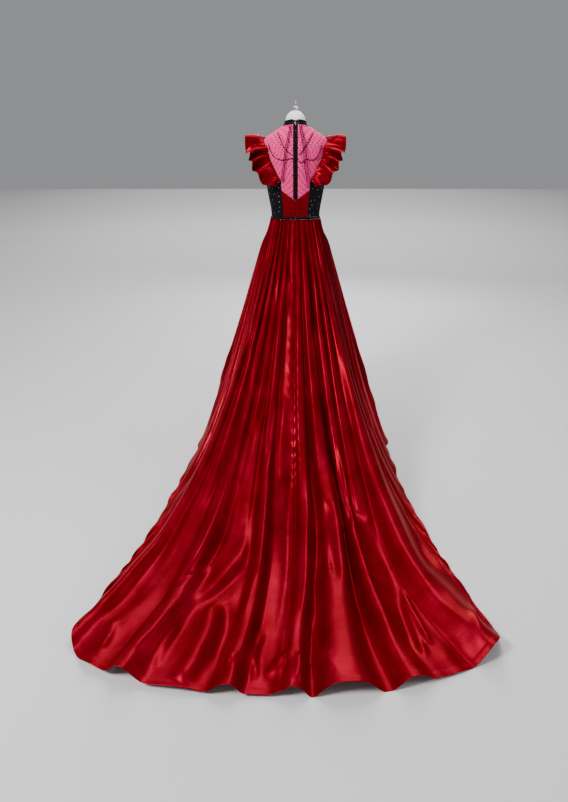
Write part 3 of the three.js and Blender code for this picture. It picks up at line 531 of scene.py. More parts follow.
@dataclass(frozen=True)
class TulleFinish:
    """Sheer net with small dark dots in staggered rows."""

    name: str = "red_tulle"
    tint: tuple = (0.95, 0.055, 0.28, 1)
    deep: tuple = (0.86, 0.03, 0.20, 1)
    dot: tuple = (0.03, 0.0, 0.006, 1)
    pitch: float = 0.0235
    dot_radius: float = 0.125
    veil: float = 0.76

    def material(self) -> bpy.types.Material:
        """Build the dotted net.

        Returns:
            The material.
        """
        board = NodeBoard(self.name)
        shader = board.shader
        board.set({"Roughness": 0.7, "Specular IOR Level": 0.15})
        rate = 1 / self.pitch
        masks = []
        for shift in (0.0, 0.5):
            coords = board.add("ShaderNodeMapping", {"Scale": (rate, rate, 1), "Location": (shift, shift, 0)})
            board.join(board.add("ShaderNodeUVMap", uv_map="cloth").outputs[0], coords.inputs["Vector"])
            step = coords
            for how, by in (("FRACTION", (0, 0, 0)), ("SUBTRACT", (0.5, 0.5, 0)), ("MULTIPLY", (1, 1, 0)),
                            ("LENGTH", (0, 0, 0))):
                following = board.add("ShaderNodeVectorMath", {1: by}, operation=how)
                board.join(step.outputs[0], following.inputs[0])
                step = following
            inner, outer = self.dot_radius * 0.75, self.dot_radius * 1.2
            masks.append(board.span(step.outputs["Value"], 1.0, 0.0, inner, outer))
        dots = board.sum(masks[0], masks[1], "MAXIMUM")
        cloud = board.noise(board.uv(), 16.0, 3.0)
        ground = board.ramp(cloud, [(0.25, self.deep), (0.75, self.tint)])
        paint = board.add("ShaderNodeMix", data_type="RGBA")
        board.join(dots, paint.inputs["Factor"])
        board.join(ground, paint.inputs["A"])
        paint.inputs["B"].default_value = self.dot
        board.join(paint.outputs["Result"], shader.inputs["Base Color"])
        net = board.add("ShaderNodeTexVoronoi", {"Scale": 1.0}, feature="DISTANCE_TO_EDGE")
        board.join(board.uv((700, 700, 1)), net.inputs["Vector"])
        threads = board.span(net.outputs["Distance"], 1.0, self.veil - 0.12, 0.03, 0.22)
        board.join(board.sum(threads, dots, "MAXIMUM"), shader.inputs["Alpha"])
        board.bump(board.sum(threads, dots), 0.3, 0.0004)
        return board.material


@dataclass(frozen=True)
class WovenFinish:
    """Matt woven cloth, as in the side panels, bands and zip tapes."""

    name: str = "black_cloth"
    dark: tuple = (0.0012, 0.001, 0.0013, 1)
    bright: tuple = (0.0055, 0.0045, 0.0055, 1)
    roughness: float = 0.7
    thread: float = 1400.0
    sheen: float = 0.02

    def material(self) -> bpy.types.Material:
        """Build the woven cloth.

        Returns:
            The material.
        """
        board = NodeBoard(self.name)
        shader = board.shader
        board.set({"Sheen Weight": self.sheen, "Sheen Roughness": 0.5, "Specular IOR Level": 0.09})
        across = board.add("ShaderNodeTexWave", {"Scale": 1.0, "Distortion": 0.6}, wave_type="BANDS")
        board.join(board.uv((self.thread / 6, 0, 0)), across.inputs["Vector"])
        along = board.add("ShaderNodeTexWave", {"Scale": 1.0, "Distortion": 0.6}, wave_type="BANDS",
                          bands_direction="Y")
        board.join(board.uv((0, self.thread / 6, 0)), along.inputs["Vector"])
        weave = board.sum(across.outputs["Fac"], along.outputs["Fac"], "MULTIPLY")
        cloud = board.noise(board.uv(), 40.0, 4.0)
        mixed = board.sum(board.times(weave, 0.5), board.times(cloud, 0.5))
        board.join(board.ramp(mixed, [(0.15, self.dark), (0.75, self.bright)]), shader.inputs["Base Color"])
        board.join(board.span(cloud, self.roughness - 0.08, self.roughness + 0.1), shader.inputs["Roughness"])
        board.bump(mixed, 0.4, 0.0006)
        return board.material


@dataclass(frozen=True)
class GlossFinish:
    """Polished beads, crystals and moulded zip teeth."""

    name: str
    colour: tuple
    roughness: float = 0.12
    metallic: float = 0.0
    coat: float = 0.15
    shine: float = 0.5

    def material(self) -> bpy.types.Material:
        """Build the gloss finish with a little unevenness.

        Returns:
            The material.
        """
        board = NodeBoard(self.name)
        shader = board.shader
        board.set({"Specular IOR Level": self.shine, "Metallic": self.metallic, "Coat Weight": self.coat,
                   "Coat Roughness": 0.06})
        speck = board.noise(board.place(), 420.0, 3.0)
        lighter = tuple(min(1.0, c * 1.6 + 0.002) for c in self.colour[:3]) + (1,)
        board.join(board.ramp(speck, [(0.35, self.colour), (0.8, lighter)]), shader.inputs["Base Color"])
        board.join(board.span(speck, self.roughness, self.roughness + 0.12), shader.inputs["Roughness"])
        return board.material


@dataclass(frozen=True)
class MetalFinish:
    """Brushed or polished metal with fine scratches."""

    name: str
    colour: tuple
    roughness: float = 0.28
    grain: tuple = (40.0, 40.0, 600.0)

    def material(self) -> bpy.types.Material:
        """Build the metal.

        Returns:
            The material.
        """
        board = NodeBoard(self.name)
        shader = board.shader
        board.set({"Metallic": 1.0})
        brushed = board.noise(board.place(self.grain), 1.0, 4.0)
        cloud = board.noise(board.place(), 14.0, 3.0)
        darker = tuple(c * 0.8 for c in self.colour[:3]) + (1,)
        board.join(board.ramp(cloud, [(0.3, darker), (0.7, self.colour)]), shader.inputs["Base Color"])
        rough = board.span(brushed, self.roughness - 0.06, self.roughness + 0.12)
        board.join(rough, shader.inputs["Roughness"])
        board.bump(brushed, 0.12, 0.0003)
        return board.material


@dataclass(frozen=True)
class FormFinish:
    """The dress form's smooth matt covering."""

    name: str = "white_form"
    colour: tuple = (0.90, 0.87, 0.93, 1)
    shade: tuple = (0.84, 0.81, 0.88, 1)

    def material(self) -> bpy.types.Material:
        """Build the matt covering with a faint knit.

        Returns:
            The material.
        """
        board = NodeBoard(self.name)
        shader = board.shader
        board.set({"Roughness": 0.55, "Sheen Weight": 0.15})
        cloud = board.noise(board.place(), 9.0, 4.0)
        board.join(board.ramp(cloud, [(0.3, self.shade), (0.7, self.colour)]), shader.inputs["Base Color"])
        board.bump(board.noise(board.place(), 900.0, 2.0), 0.15, 0.0004)
        return board.material


@dataclass(frozen=True)
class FloorFinish:
    """A plain pale studio floor."""

    name: str = "studio_floor"
    colour: tuple = (0.62, 0.61, 0.62, 1)

    def material(self) -> bpy.types.Material:
        """Build the floor's matt paint.

        Returns:
            The material.
        """
        board = NodeBoard(self.name)
        board.set({"Roughness": 0.8})
        cloud = board.noise(board.place(), 0.8, 2.0)
        darker = tuple(c * 0.97 for c in self.colour[:3]) + (1,)
        board.join(board.ramp(cloud, [(0.3, darker), (0.7, self.colour)]), board.shader.inputs["Base Color"])
        return board.material


class Wardrobe:
    """All finishes, each built once."""

    def __init__(self) -> None:
        """Build the materials."""
        self.satin = SatinFinish().material()
        self.tulle = TulleFinish().material()
        self.black = WovenFinish().material()
        self.bead = GlossFinish("black_bead", (0.0025, 0.002, 0.0025, 1), roughness=0.26, coat=0.03,
                                 shine=0.2).material()
        self.crystal = GlossFinish("crystal", (0.72, 0.74, 0.80, 1), roughness=0.05, metallic=0.65,
                                   coat=1.0).material()
        self.teeth = GlossFinish("black_teeth", (0.002, 0.0018, 0.002, 1), roughness=0.5, coat=0.0,
                                  shine=0.12).material()
        self.silver = MetalFinish("zip_silver", (0.78, 0.78, 0.80, 1), roughness=0.18).material()
        self.form = FormFinish().material()
        self.finial = MetalFinish("finial_metal", (0.50, 0.46, 0.57, 1), roughness=0.3).material()
        self.stand = MetalFinish("stand_metal", (0.56, 0.56, 0.59, 1), roughness=0.3).material()
        self.floor = FloorFinish().material()


@dataclass
class Cloth:
    """A sheet of cloth given by a grid of points that runs right and up, seen from outside."""

    points: np.ndarray
    flat: np.ndarray
    thickness: float = 0.8
    closed: bool = False
    floor: float | None = None

    def normals(self) -> np.ndarray:
        """Outward unit normals at every grid point.

        Returns:
            The normals.
        """
        points = self.points
        if self.closed:
            points = np.concatenate([points[-1:], points, points[:1]])
        right = np.gradient(points, axis=0)
        up = np.gradient(points, axis=1)
        if self.closed:
            right, up = right[1:-1], up[1:-1]
        return unit(np.cross(right, up))

    def piece(self, name: str, material: bpy.types.Material) -> bpy.types.Object:
        """Make the closed thin shell.

        Args:
            name: the piece's name.
            material: its finish.

        Returns:
            The new object.
        """
        inner = self.points - self.normals() * self.thickness
        outer = self.points.copy()
        if self.floor is not None:
            outer[..., 2] = np.maximum(outer[..., 2], self.floor + self.thickness)
            inner[..., 2] = np.maximum(inner[..., 2], self.floor)
        columns, rows = outer.shape[:2]
        size = columns * rows
        grid = np.arange(size).reshape(columns, rows)
        following = np.roll(grid, -1, axis=0) if self.closed else grid[1:]
        here = grid if self.closed else grid[:-1]
        a, b, c, d = here[:, :-1], following[:, :-1], following[:, 1:], here[:, 1:]
        front = np.stack([a, b, c, d], axis=-1).reshape(-1, 4)
        back = np.stack([a, d, c, b], axis=-1).reshape(-1, 4) + size
        low, next_low = here[:, 0], following[:, 0]
        high, next_high = here[:, -1], following[:, -1]
        rims = [
            np.stack([low + size, next_low + size, next_low, low], axis=-1),
            np.stack([high, next_high, next_high + size, high + size], axis=-1),
        ]
        if not self.closed:
            start, end = grid[0], grid[-1]
            rims.append(np.stack([start[:-1], start[1:], start[1:] + size, start[:-1] + size], axis=-1))
            rims.append(np.stack([end[1:], end[:-1], end[:-1] + size, end[1:] + size], axis=-1))
        faces = np.concatenate([front, back, *rims])
        points = np.concatenate([outer.reshape(-1, 3), inner.reshape(-1, 3)]) * MM
        flat = np.concatenate([self.flat.reshape(-1, 2)] * 2) * MM
        return mesh_piece(name, points, faces, material, flat)


def mesh_piece(name: str, points: np.ndarray, faces: Sequence, material: bpy.types.Material,
               flat: np.ndarray | None = None, smooth_faces: bool = True) -> bpy.types.Object:
    """Make an object from points and faces.

    Args:
        name: the piece's name.
        points: points in metres.
        faces: lists of point numbers.
        material: its finish.
        flat: flat cloth coordinates in metres, one for each point.
        smooth_faces: shade the faces smooth.

    Returns:
        The new object.
    """
    mesh = bpy.data.meshes.new(name)
    mesh.from_pydata(np.asarray(points).tolist(), [], [list(map(int, face)) for face in faces])
    if flat is not None:
        layer = mesh.uv_layers.new(name="cloth")
        corner = np.empty(len(mesh.loops), dtype=np.int32)
        mesh.loops.foreach_get("vertex_index", corner)
        layer.data.foreach_set("uv", flat[corner].astype(np.float32).ravel())
    if smooth_faces:
        mesh.polygons.foreach_set("use_smooth", np.ones(len(mesh.polygons), dtype=bool))
    mesh.materials.append(material)
    mesh.update()
    piece = bpy.data.objects.new(name, mesh)
    bpy.context.scene.collection.objects.link(piece)
    return piece


def settle(piece: bpy.types.Object, slot: str, *nodes: str, body: str = BODY) -> bpy.types.Object:
    """Hang a finished piece on its body and hide the CAD nodes that it stands for.

    Args:
        piece: the piece.
        slot: its material slot; not used.
        nodes: the CAD nodes.
        body: the body that it moves with.

    Returns:
        The same piece.
    """
    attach(piece, body)
    if nodes:
        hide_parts(*nodes)
    skin = sum(face.area for face in piece.data.polygons)
    LOG.info("%s: %d faces, %.4f m2 of skin", piece.name, len(piece.data.polygons), skin)
    return piece


def flat_lengths(points: np.ndarray) -> np.ndarray:
    """Flat cloth coordinates of a grid from the lengths along its two directions, in millimetres.

    Args:
        points: the grid.

    Returns:
        The flat coordinates.
    """
    across = np.linalg.norm(np.diff(points, axis=0), axis=-1)
    along = np.linalg.norm(np.diff(points, axis=1), axis=-1)
    u = np.concatenate([np.zeros((1, points.shape[1])), np.cumsum(across, axis=0)])
    v = np.concatenate([np.zeros((points.shape[0], 1)), np.cumsum(along, axis=1)], axis=1)
    return np.stack([u - u.mean(axis=0, keepdims=True), v], axis=-1)


def draw_in(points: np.ndarray, edge: int, gap: float) -> None:
    """Draw a grid's first (0) or last (-1) column of points in towards the next one by the gap."""
    points[edge] += unit(points[1 if edge == 0 else -2] - points[edge]) * gap


def mirrored(points: np.ndarray) -> np.ndarray:
    """The same grid on the other side of the gown, still running right and up.

    Args:
        points: the grid.

    Returns:
        The new grid.
    """
    other = points[::-1].copy()
    other[..., 0] *= -1
    return other


def deselect() -> None:
    """Leave edit mode and deselect everything."""
    if bpy.context.object and bpy.context.object.mode != "OBJECT":
        bpy.ops.object.mode_set(mode="OBJECT")
    bpy.ops.object.select_all(action="DESELECT")


def named(name: str, material: bpy.types.Material) -> bpy.types.Object:
    """Name the active object, give it its finish and leave its place in its mesh.

    Args:
        name: the piece's name.
        material: its finish.

    Returns:
        The piece.
    """
    piece = bpy.context.object
    piece.name = name
    piece.data.name = name
    piece.data.materials.clear()
    piece.data.materials.append(material)
    bpy.ops.object.transform_apply(location=True, rotation=True, scale=True)
    bpy.ops.object.shade_smooth_by_angle(angle=math.radians(38))
    piece.select_set(False)
    return piece


def select_faces(test: Callable[[Vector, Vector], bool]) -> None:
    """In edit mode, select the faces that pass a test of their centre and normal.

    Args:
        test: the test.
    """
    mesh = bmesh.from_edit_mesh(bpy.context.object.data)
    for face in mesh.faces:
        face.select_set(bool(test(face.calc_center_median(), face.normal)))
    mesh.select_flush_mode()
    bmesh.update_edit_mesh(bpy.context.object.data)


def select_edges(test: Callable[[Vector, Vector], bool]) -> None:
    """In edit mode, select the edges whose two ends pass a test.

    Args:
        test: the test.
    """
    bpy.ops.mesh.select_mode(type="EDGE")
    mesh = bmesh.from_edit_mesh(bpy.context.object.data)
    for edge in mesh.edges:
        edge.select_set(bool(test(edge.verts[0].co, edge.verts[1].co)))
    bmesh.update_edit_mesh(bpy.context.object.data)


@dataclass
class DressForm:
    """The limbless form: torso, neck cap, finial, pole and round base."""

    wardrobe: Wardrobe
    base_radius: float = 0.190
    base_height: float = 0.018
    pole_radius: float = 0.014
    cap_rise: float = 0.047
    # The finial's turned profile above the cap: height and radius, in metres.
    finial_rows: tuple = (
        (0.0, 0.0088), (0.0025, 0.0115), (0.0045, 0.0125), (0.0085, 0.0126), (0.0118, 0.0125),
        (0.014, 0.0105), (0.016, 0.0078), (0.0172, 0.005), (0.0185, 0.0036), (0.0215, 0.0034),
        (0.0232, 0.0046), (0.025, 0.0056), (0.0275, 0.0058), (0.0295, 0.0052), (0.031, 0.0036),
        (0.032, 0.003), (0.0333, 0.004), (0.0348, 0.0043), (0.0365, 0.0032), (0.0376, 0.0014),
    )

    def torso(self) -> bpy.types.Object:
        """The smooth torso, closed below and at the neck.

        Returns:
            The piece.
        """
        turns = np.linspace(0, 2 * math.pi, 96, endpoint=False)
        heights = np.concatenate([np.linspace(905, 1500, 46), np.linspace(1506, 1599.7, 26)])
        points = form_skin(turns[:, None], heights[None, :])
        columns, rows = points.shape[:2]
        grid = np.arange(columns * rows).reshape(columns, rows)
        following = np.roll(grid, -1, axis=0)
        corners = [grid[:, :-1], following[:, :-1], following[:, 1:], grid[:, 1:]]
        faces = np.stack(corners, axis=-1).reshape(-1, 4)
        caps = [grid[::-1, 0], grid[:, -1]]
        piece = mesh_piece("torso", points.reshape(-1, 3) * MM, [*faces, *caps], self.wardrobe.form)
        for face in list(piece.data.polygons)[-2:]:
            face.use_smooth = False
        return settle(piece, "white_form", "form_torso")

    def neck_cap(self) -> bpy.types.Object:
        """The rounded cap on the neck, a sphere cut level and drawn to the neck's oval.

        Returns:
            The piece.
        """
        deselect()
        bpy.ops.mesh.primitive_uv_sphere_add(segments=64, ring_count=32, radius=1.0, location=(0, 0, 0))
        bpy.ops.object.mode_set(mode="EDIT")
        bpy.ops.mesh.select_all(action="SELECT")
        bpy.ops.mesh.bisect(plane_co=(0, 0, 0.02), plane_no=(0, 0, 1), clear_inner=True, use_fill=True)
        bpy.ops.mesh.select_all(action="SELECT")
        bpy.ops.transform.translate(value=(0, 0, -0.02))
        bpy.ops.transform.resize(value=(0.0469, 0.0479, self.cap_rise / 0.98), center_override=(0, 0, 0))
        bpy.ops.transform.translate(value=(0, 0.001, NECK_TOP * MM))
        bpy.ops.object.mode_set(mode="OBJECT")
        return settle(named("neck_cap", self.wardrobe.form), "white_form", "form_neck_cap")

    def finial(self) -> bpy.types.Object:
        """The turned finial, drawn up ring by ring from a short drum.

        Returns:
            The piece.
        """
        foot = (NECK_TOP + 47.3) * MM
        deselect()
        first = self.finial_rows[0]
        bpy.ops.mesh.primitive_cylinder_add(vertices=40, radius=first[1], depth=0.0004,
                                            location=(0, 0.001, foot + 0.0002))
        bpy.ops.object.transform_apply(location=True, rotation=True, scale=True)
        bpy.ops.object.mode_set(mode="EDIT")
        bpy.ops.mesh.select_mode(type="FACE")
        select_faces(lambda centre, normal: normal.z > 0.9)
        height, radius = 0.0004, first[1]
        for next_height, next_radius in self.finial_rows[1:]:
            bpy.ops.mesh.extrude_region_move(TRANSFORM_OT_translate={"value": (0, 0, next_height - height)})
            share = next_radius / radius
            bpy.ops.transform.resize(value=(share, share, 1), center_override=(0, 0.001, foot + next_height))
            height, radius = next_height, next_radius
        bpy.ops.object.mode_set(mode="OBJECT")
        return settle(named("finial", self.wardrobe.finial), "finial_metal", "form_finial")

    def pole(self) -> bpy.types.Object:
        """The pole, with a shallow groove above its foot.

        Returns:
            The piece.
        """
        low, high = self.base_height + 0.0003, 0.9047
        deselect()
        bpy.ops.mesh.primitive_cylinder_add(vertices=48, radius=self.pole_radius, depth=high - low,
                                            location=(0, 0, (low + high) / 2))
        bpy.ops.object.transform_apply(location=True, rotation=True, scale=True)
        bpy.ops.object.mode_set(mode="EDIT")
        for cut in (low + 0.03, low + 0.034):
            bpy.ops.mesh.select_all(action="SELECT")
            bpy.ops.mesh.bisect(plane_co=(0, 0, cut), plane_no=(0, 0, 1))
        select_edges(lambda a, b: abs(a.z - b.z) < 1e-6 and abs(a.z - low - 0.032) < 0.003)
        bpy.ops.transform.resize(value=(0.93, 0.93, 1), center_override=(0, 0, low + 0.032))
        select_edges(lambda a, b: abs(a.z - b.z) < 1e-6 and (a.z < low + 1e-4 or a.z > high - 1e-4))
        bpy.ops.mesh.bevel(offset=0.0012, segments=2)
        bpy.ops.object.mode_set(mode="OBJECT")
        return settle(named("pole", self.wardrobe.stand), "stand_metal", "stand_pole")

    def base(self) -> bpy.types.Object:
        """The round base, domed in steps towards the pole, with softened rims.

        Returns:
            The piece.
        """
        deselect()
        bpy.ops.mesh.primitive_cylinder_add(vertices=96, radius=self.base_radius, depth=0.008,
                                            location=(0, 0, 0.004))
        bpy.ops.object.transform_apply(location=True, rotation=True, scale=True)
        bpy.ops.object.mode_set(mode="EDIT")
        bpy.ops.mesh.select_mode(type="FACE")
        select_faces(lambda centre, normal: normal.z > 0.9)
        radius, height = self.base_radius, 0.008
        steps = ((0.182, 0.012), (0.12, 0.0152), (0.06, 0.0175), (0.026, self.base_height))
        for next_radius, next_height in steps:
            bpy.ops.mesh.extrude_region_move(TRANSFORM_OT_translate={"value": (0, 0, next_height - height)})
            share = next_radius / radius
            bpy.ops.transform.resize(value=(share, share, 1), center_override=(0, 0, next_height))
            radius, height = next_radius, next_height
        rim = self.base_radius
        select_edges(lambda a, b: abs(a.z - b.z) < 1e-6 and min(a.xy.length, b.xy.length) > rim - 1e-4)
        bpy.ops.mesh.bevel(offset=0.0016, segments=3)
        bpy.ops.object.mode_set(mode="OBJECT")
        return settle(named("base", self.wardrobe.stand), "stand_metal", "stand_base")

    def build(self) -> None:
        """Build the whole form and stand."""
        self.torso()
        self.neck_cap()
        self.finial()
        self.pole()
        self.base()


@dataclass
class Skirt:
    """The gathered skirt with its train, in five gores."""

    wardrobe: Wardrobe
    thickness: float = 0.9
    samples_per_fold: int = 18
    rows: int = 150
    # Depths of the smaller shapes, in millimetres; the shares are of the folds' width.
    gather_share: float = 0.15
    second_share: float = 0.045
    crease_share: float = 0.042
    valley_share: float = 0.12
    break_depth: float = 7.5
    flip_depth: float = 7.5
    curl_depth: float = 4.5
    pucker_depth: float = 3.6
    pucker_reach: float = 26.0
    pucker_pitch: float = 44.0
    seam_dip: float = 0.9
    hem_rise: float = 0.9
    folds: np.ndarray = field(init=False)
    starts: np.ndarray = field(init=False)
    count: int = field(init=False)
    lean_of_fold: np.ndarray = field(init=False)
    half: np.ndarray = field(init=False)
    walk: np.ndarray = field(init=False)
    noise: list[SoftNoise] = field(init=False)
    creases: list[tuple] = field(init=False)

    def __post_init__(self) -> None:
        """Lay out the folds and the hem's walk."""
        k = np.arange(HIDDEN_FOLD_COUNT)
        hidden = np.stack([
            1 + 0.24 * np.sin(2.4 * k + 0.6) + 0.08 * np.sin(5.3 * k),
            1 + 0.18 * np.sin(1.9 * k),
            0.6 + 0.7 * np.sin(2.4 * k + 0.9),
        ], axis=1)
        self.folds = np.concatenate([FOLDS_BACK_RIGHT, hidden, FOLDS_BACK_LEFT[::-1]])
        self.folds[:, 0] /= self.folds[:, 0].sum()
        self.starts = np.concatenate([[0], np.cumsum(self.folds[:, 0])])
        self.count = len(self.folds)
        self.lean_of_fold = np.random.default_rng(5).uniform(-1, 1, self.count)
        rows = (len(HEM_OUTLINE) - 1) * 12
        self.half = row_at(HEM_OUTLINE, np.linspace(0, len(HEM_OUTLINE) - 1, rows + 1))
        self.walk = np.concatenate([[0], np.cumsum(np.linalg.norm(np.diff(self.half, axis=0), axis=1))])
        self.noise = [SoftNoise(11 + n, wide) for n, wide in enumerate((42, 90, 60, 24, 84, 130, 12))]
        self.creases = TRAIN_CREASES + self.hidden_creases()

    def hidden_creases(self) -> list:
        """Ridges and troughs for the sides and the front, like those listed behind.

        Returns:
            Depth, width and route of each.
        """
        rng = np.random.default_rng(8)
        found = []
        for k in range(HIDDEN_CREASE_COUNT):
            at = 6.5 + (self.count - 13) * (k + rng.uniform(0.2, 0.8)) / HIDDEN_CREASE_COUNT
            high = rng.uniform(0.12, 0.6)
            slant = rng.uniform(-0.7, 0.7)
            route = [(at + slant * t + 0.15 * math.sin(5 * t), high + 0.34 * t) for t in (0, 0.35, 0.7, 1)]
            found.append((rng.uniform(5, 11) * (1 if k % 3 else -1), rng.uniform(14, 26), route))
        return found

    def creased(self, frame: dict) -> np.ndarray:
        """How far the placed ridges and troughs lift each point of the skirt without folds.

        Args:
            frame: the skirt without folds, as bare() gives it.

        Returns:
            Millimetres out from the folds.
        """
        total = np.zeros(frame["height"].shape)
        place = np.concatenate([frame["plan"], frame["height"][..., None]], axis=-1)
        for depth, width, route in self.creases:
            table = np.array(route, float)
            fine = row_at(table, np.linspace(0, len(table) - 1, 13))
            around = np.interp(np.mod(fine[:, 0], self.count), np.arange(self.count + 1), self.starts)
            line = self.bare(around + self.drift(around, fine[:, 1]), fine[:, 1])
            knots = np.concatenate([line["plan"], line["height"][:, None]], axis=-1)
            best = np.full(total.shape, 1e9)
            along = np.zeros(total.shape)
            for k in range(len(knots) - 1):
                step = knots[k + 1] - knots[k]
                t = np.clip((place - knots[k]) @ step / (step @ step), 0, 1)
                far = np.linalg.norm(place - knots[k] - t[..., None] * step, axis=-1)
                nearer = far < best
                best = np.where(nearer, far, best)
                along = np.where(nearer, (k + t) / (len(knots) - 1), along)
            taper = smooth(-0.05, 0.3, along) * (1 - smooth(0.78, 1.05, along))
            total += depth * taper * np.exp(-(best / width) ** 2)
        return total

    @staticmethod
    def drift(around: np.ndarray, out: np.ndarray) -> np.ndarray:
        """How far the folds drift sideways on their way down, as a share of the way round.

        Args:
            around: 0 to 1 once round.
            out: 0 at the waist to 1 at the hem.

        Returns:
            The drift.
        """
        turn = 2 * math.pi * around
        wander = 0.009 * np.sin(3 * turn) * np.cos(5.2 * out) * smooth(0.3, 0.95, out)
        swing = 0.0055 * np.sin(5 * turn + 3.1 * out) + 0.003 * np.sin(11 * turn - 4 * out + 1)
        return wander + out * swing

    def hem(self, around: np.ndarray) -> np.ndarray:
        """Points of the hem's outline on the floor.

        Args:
            around: 0 to 1 once round.

        Returns:
            Side and ahead, in millimetres.
        """
        wrapped = np.mod(around, 1)
        other = wrapped > 0.5
        along = np.where(other, 1 - wrapped, wrapped) * 2 * self.walk[-1]
        side = np.interp(along, self.walk, self.half[:, 0]) * np.where(other, -1, 1)
        ahead = np.interp(along, self.walk, self.half[:, 1])
        wider = CORNER_WIDER * smooth(0, 300, -side) * smooth(900, 1350, -ahead)
        wider = wider * (1 - smooth(1400, 1650, -ahead))
        longer = CORNER_LONGER * smooth(250, 480, -side) * smooth(1400, 1650, -ahead)
        return np.stack([side - wider + TRAIN_SWAY * smooth(-200, 700, -ahead), ahead - longer], axis=-1)

    def waist(self, around: np.ndarray) -> np.ndarray:
        """Points of the gathered waist edge.

        Args:
            around: 0 to 1 once round.

        Returns:
            Side and ahead, in millimetres.
        """
        turn = around * 2 * math.pi
        even = turn + 0.095 * np.sin(2 * turn)
        return np.stack([WAIST_SIDE * np.sin(even), -WAIST_DEPTH * np.cos(even)], axis=-1)

    def bare(self, around: np.ndarray, out: np.ndarray) -> dict:
        """The skirt without folds: plan, way out, height, slope and how far it flows behind.

        Args:
            around: 0 to 1 once round.
            out: 0 at the waist to 1 at the hem.

        Returns:
            Each of these by its name.
        """
        waist, hem = self.waist(around), self.hem(around)
        reach = hem - waist
        length = np.linalg.norm(reach, axis=-1)
        flow = smooth(300, 1500, length)
        power = mix(1.12, 2.5, flow)
        flare = 26 * smooth(0, 0.1, out) * (1 - smooth(0.1, 0.9, out)) * (1 - 0.4 * flow)
        away = reach / length[..., None]
        plan = waist + reach * out[..., None] + away * flare[..., None]
        slope = WAIST_HEIGHT * power * np.maximum(1 - out, 0.15) ** (power - 1) / length
        return {"plan": plan, "away": away, "height": WAIST_HEIGHT * (1 - out) ** power,
                "lean": np.arctan(slope), "flow": flow}

    def pitch(self, around: np.ndarray, out: np.ndarray, away: np.ndarray) -> np.ndarray:
        """How wide an average fold is, measured across the way it runs.

        Args:
            around: 0 to 1 once round.
            out: 0 at the waist to 1 at the hem.
            away: the way the folds run, in plan.

        Returns:
            Millimetres.
        """
        step = 0.25 / self.count
        run = self.bare(around + step, out)["plan"] - self.bare(around - step, out)["plan"]
        return np.abs(run[..., 0] * away[..., 1] - run[..., 1] * away[..., 0]) * 2

    def fold(self, count: np.ndarray, out: np.ndarray) -> np.ndarray:
        """The main folds' wave: positive on a crest, negative in a valley.

        Args:
            count: folds counted from the middle of the back, with the place inside the fold.
            out: share of the way from the waist to the hem.

        Returns:
            The wave, in shares of the fold depth.
        """
        wander = self.noise[3].at(count / self.count, 3.2 * out + 40)
        count = count + 0.24 * smooth(0.15, 0.6, out) * wander
        i = np.mod(np.floor(count + 1e-9), self.count).astype(int)
        t = count - np.floor(count + 1e-9)
        t = np.clip(t + 0.055 * self.lean_of_fold[i] * np.sin(2 * math.pi * t) * smooth(0.1, 0.6, out), 0, 1)
        late = smooth(0.06, 0.45, out)
        depth = mix(self.folds[:, 1][i], self.folds[:, 2][i], late)
        j = np.mod(i + np.where(t < 0.5, -1, 1), self.count)
        beside = mix(self.folds[:, 1][j], self.folds[:, 2][j], late)
        sharpness = mix(2.4, 1.4, smooth(0.4, 1, out))
        rising = 1 - ((1 + np.cos(2 * math.pi * t)) / 2) ** sharpness
        return mix(-(depth + beside) / 2, depth, rising)

    def detail(self, count: np.ndarray, out: np.ndarray, pitch: np.ndarray, flow: np.ndarray) -> np.ndarray:
        """The smaller gathers, creases, puckers and breaks, in millimetres out from the folds.

        Args:
            count: folds from the centre back seam.
            out: the share of the way out.
            pitch: the folds' width there.
            flow: 0 where the skirt hangs to 1 where it trails.

        Returns:
            Millimetres out from the folds.
        """
        around = np.interp(np.mod(count, self.count), np.arange(self.count + 1), self.starts)
        side_creases, hair, crumple, breaks, flips, small, slow = self.noise
        tau = 2 * math.pi
        gather = self.gather_share * pitch * (1 - smooth(0.015, 0.15, out)) * np.sin(
            tau * 2.5 * count + 2.6 * np.sin(1.3 * count) + 1.6 * side_creases.at(around, 9 * out))
        gather *= 0.45 + 0.55 * np.sin(2.7 * count) + 0.5 * hair.at(around, 2 + 6 * out)
        second = self.second_share * pitch * smooth(0.05, 0.3, out)
        second *= 0.3 + 0.9 * side_creases.at(around, 2.3 * out + 7)
        second *= np.sin(tau * 2 * count + 2.4 * side_creases.at(around, 3.1 * out + 20))
        second *= 1 - 0.85 * smooth(0.35, 0.65, out)
        middle = np.mod(count + self.count / 2, self.count) - self.count / 2
        second *= 1 - 0.7 * np.exp(-(middle / 5) ** 2)
        creases = self.crease_share * pitch * smooth(0.04, 0.25, out) * hair.at(around, 3.4 * out + 3)
        creases *= 1 - 0.3 * smooth(0.4, 0.7, out)
        crushed = 0.7 * crumple.at(around, 46 * out) * (0.35 + 0.65 * np.abs(slow.at(around, 5 * out)))
        centre = np.exp(-(middle / 1.7) ** 2) * smooth(0.02, 0.1, out) * (1 - smooth(0.5, 0.7, out))
        crushed *= 1 + 1.3 * centre
        lying = flow * smooth(0.5, 0.72, out)
        breaking = self.break_depth * lying * (1 - 0.3 * smooth(0.85, 1, out))
        breaking *= breaks.at(around, 10 * out + 5)
        flipped = self.flip_depth * smooth(0.92, 1, out) * flips.at(around, 11 * out) * mix(0.35, 1, flow)
        curled = 0.5 - np.abs(flips.at(around, 17 * out + 9)) ** 0.6
        flipped += self.curl_depth * lying * curled * smooth(0.8, 0.95, out)
        away = np.abs(middle) * pitch
        run = 1900 * out
        pucker = self.pucker_depth * np.exp(-(away / self.pucker_reach) ** 2) * smooth(0.0, 0.05, out)
        pucker *= 1 - smooth(0.8, 0.96, out)
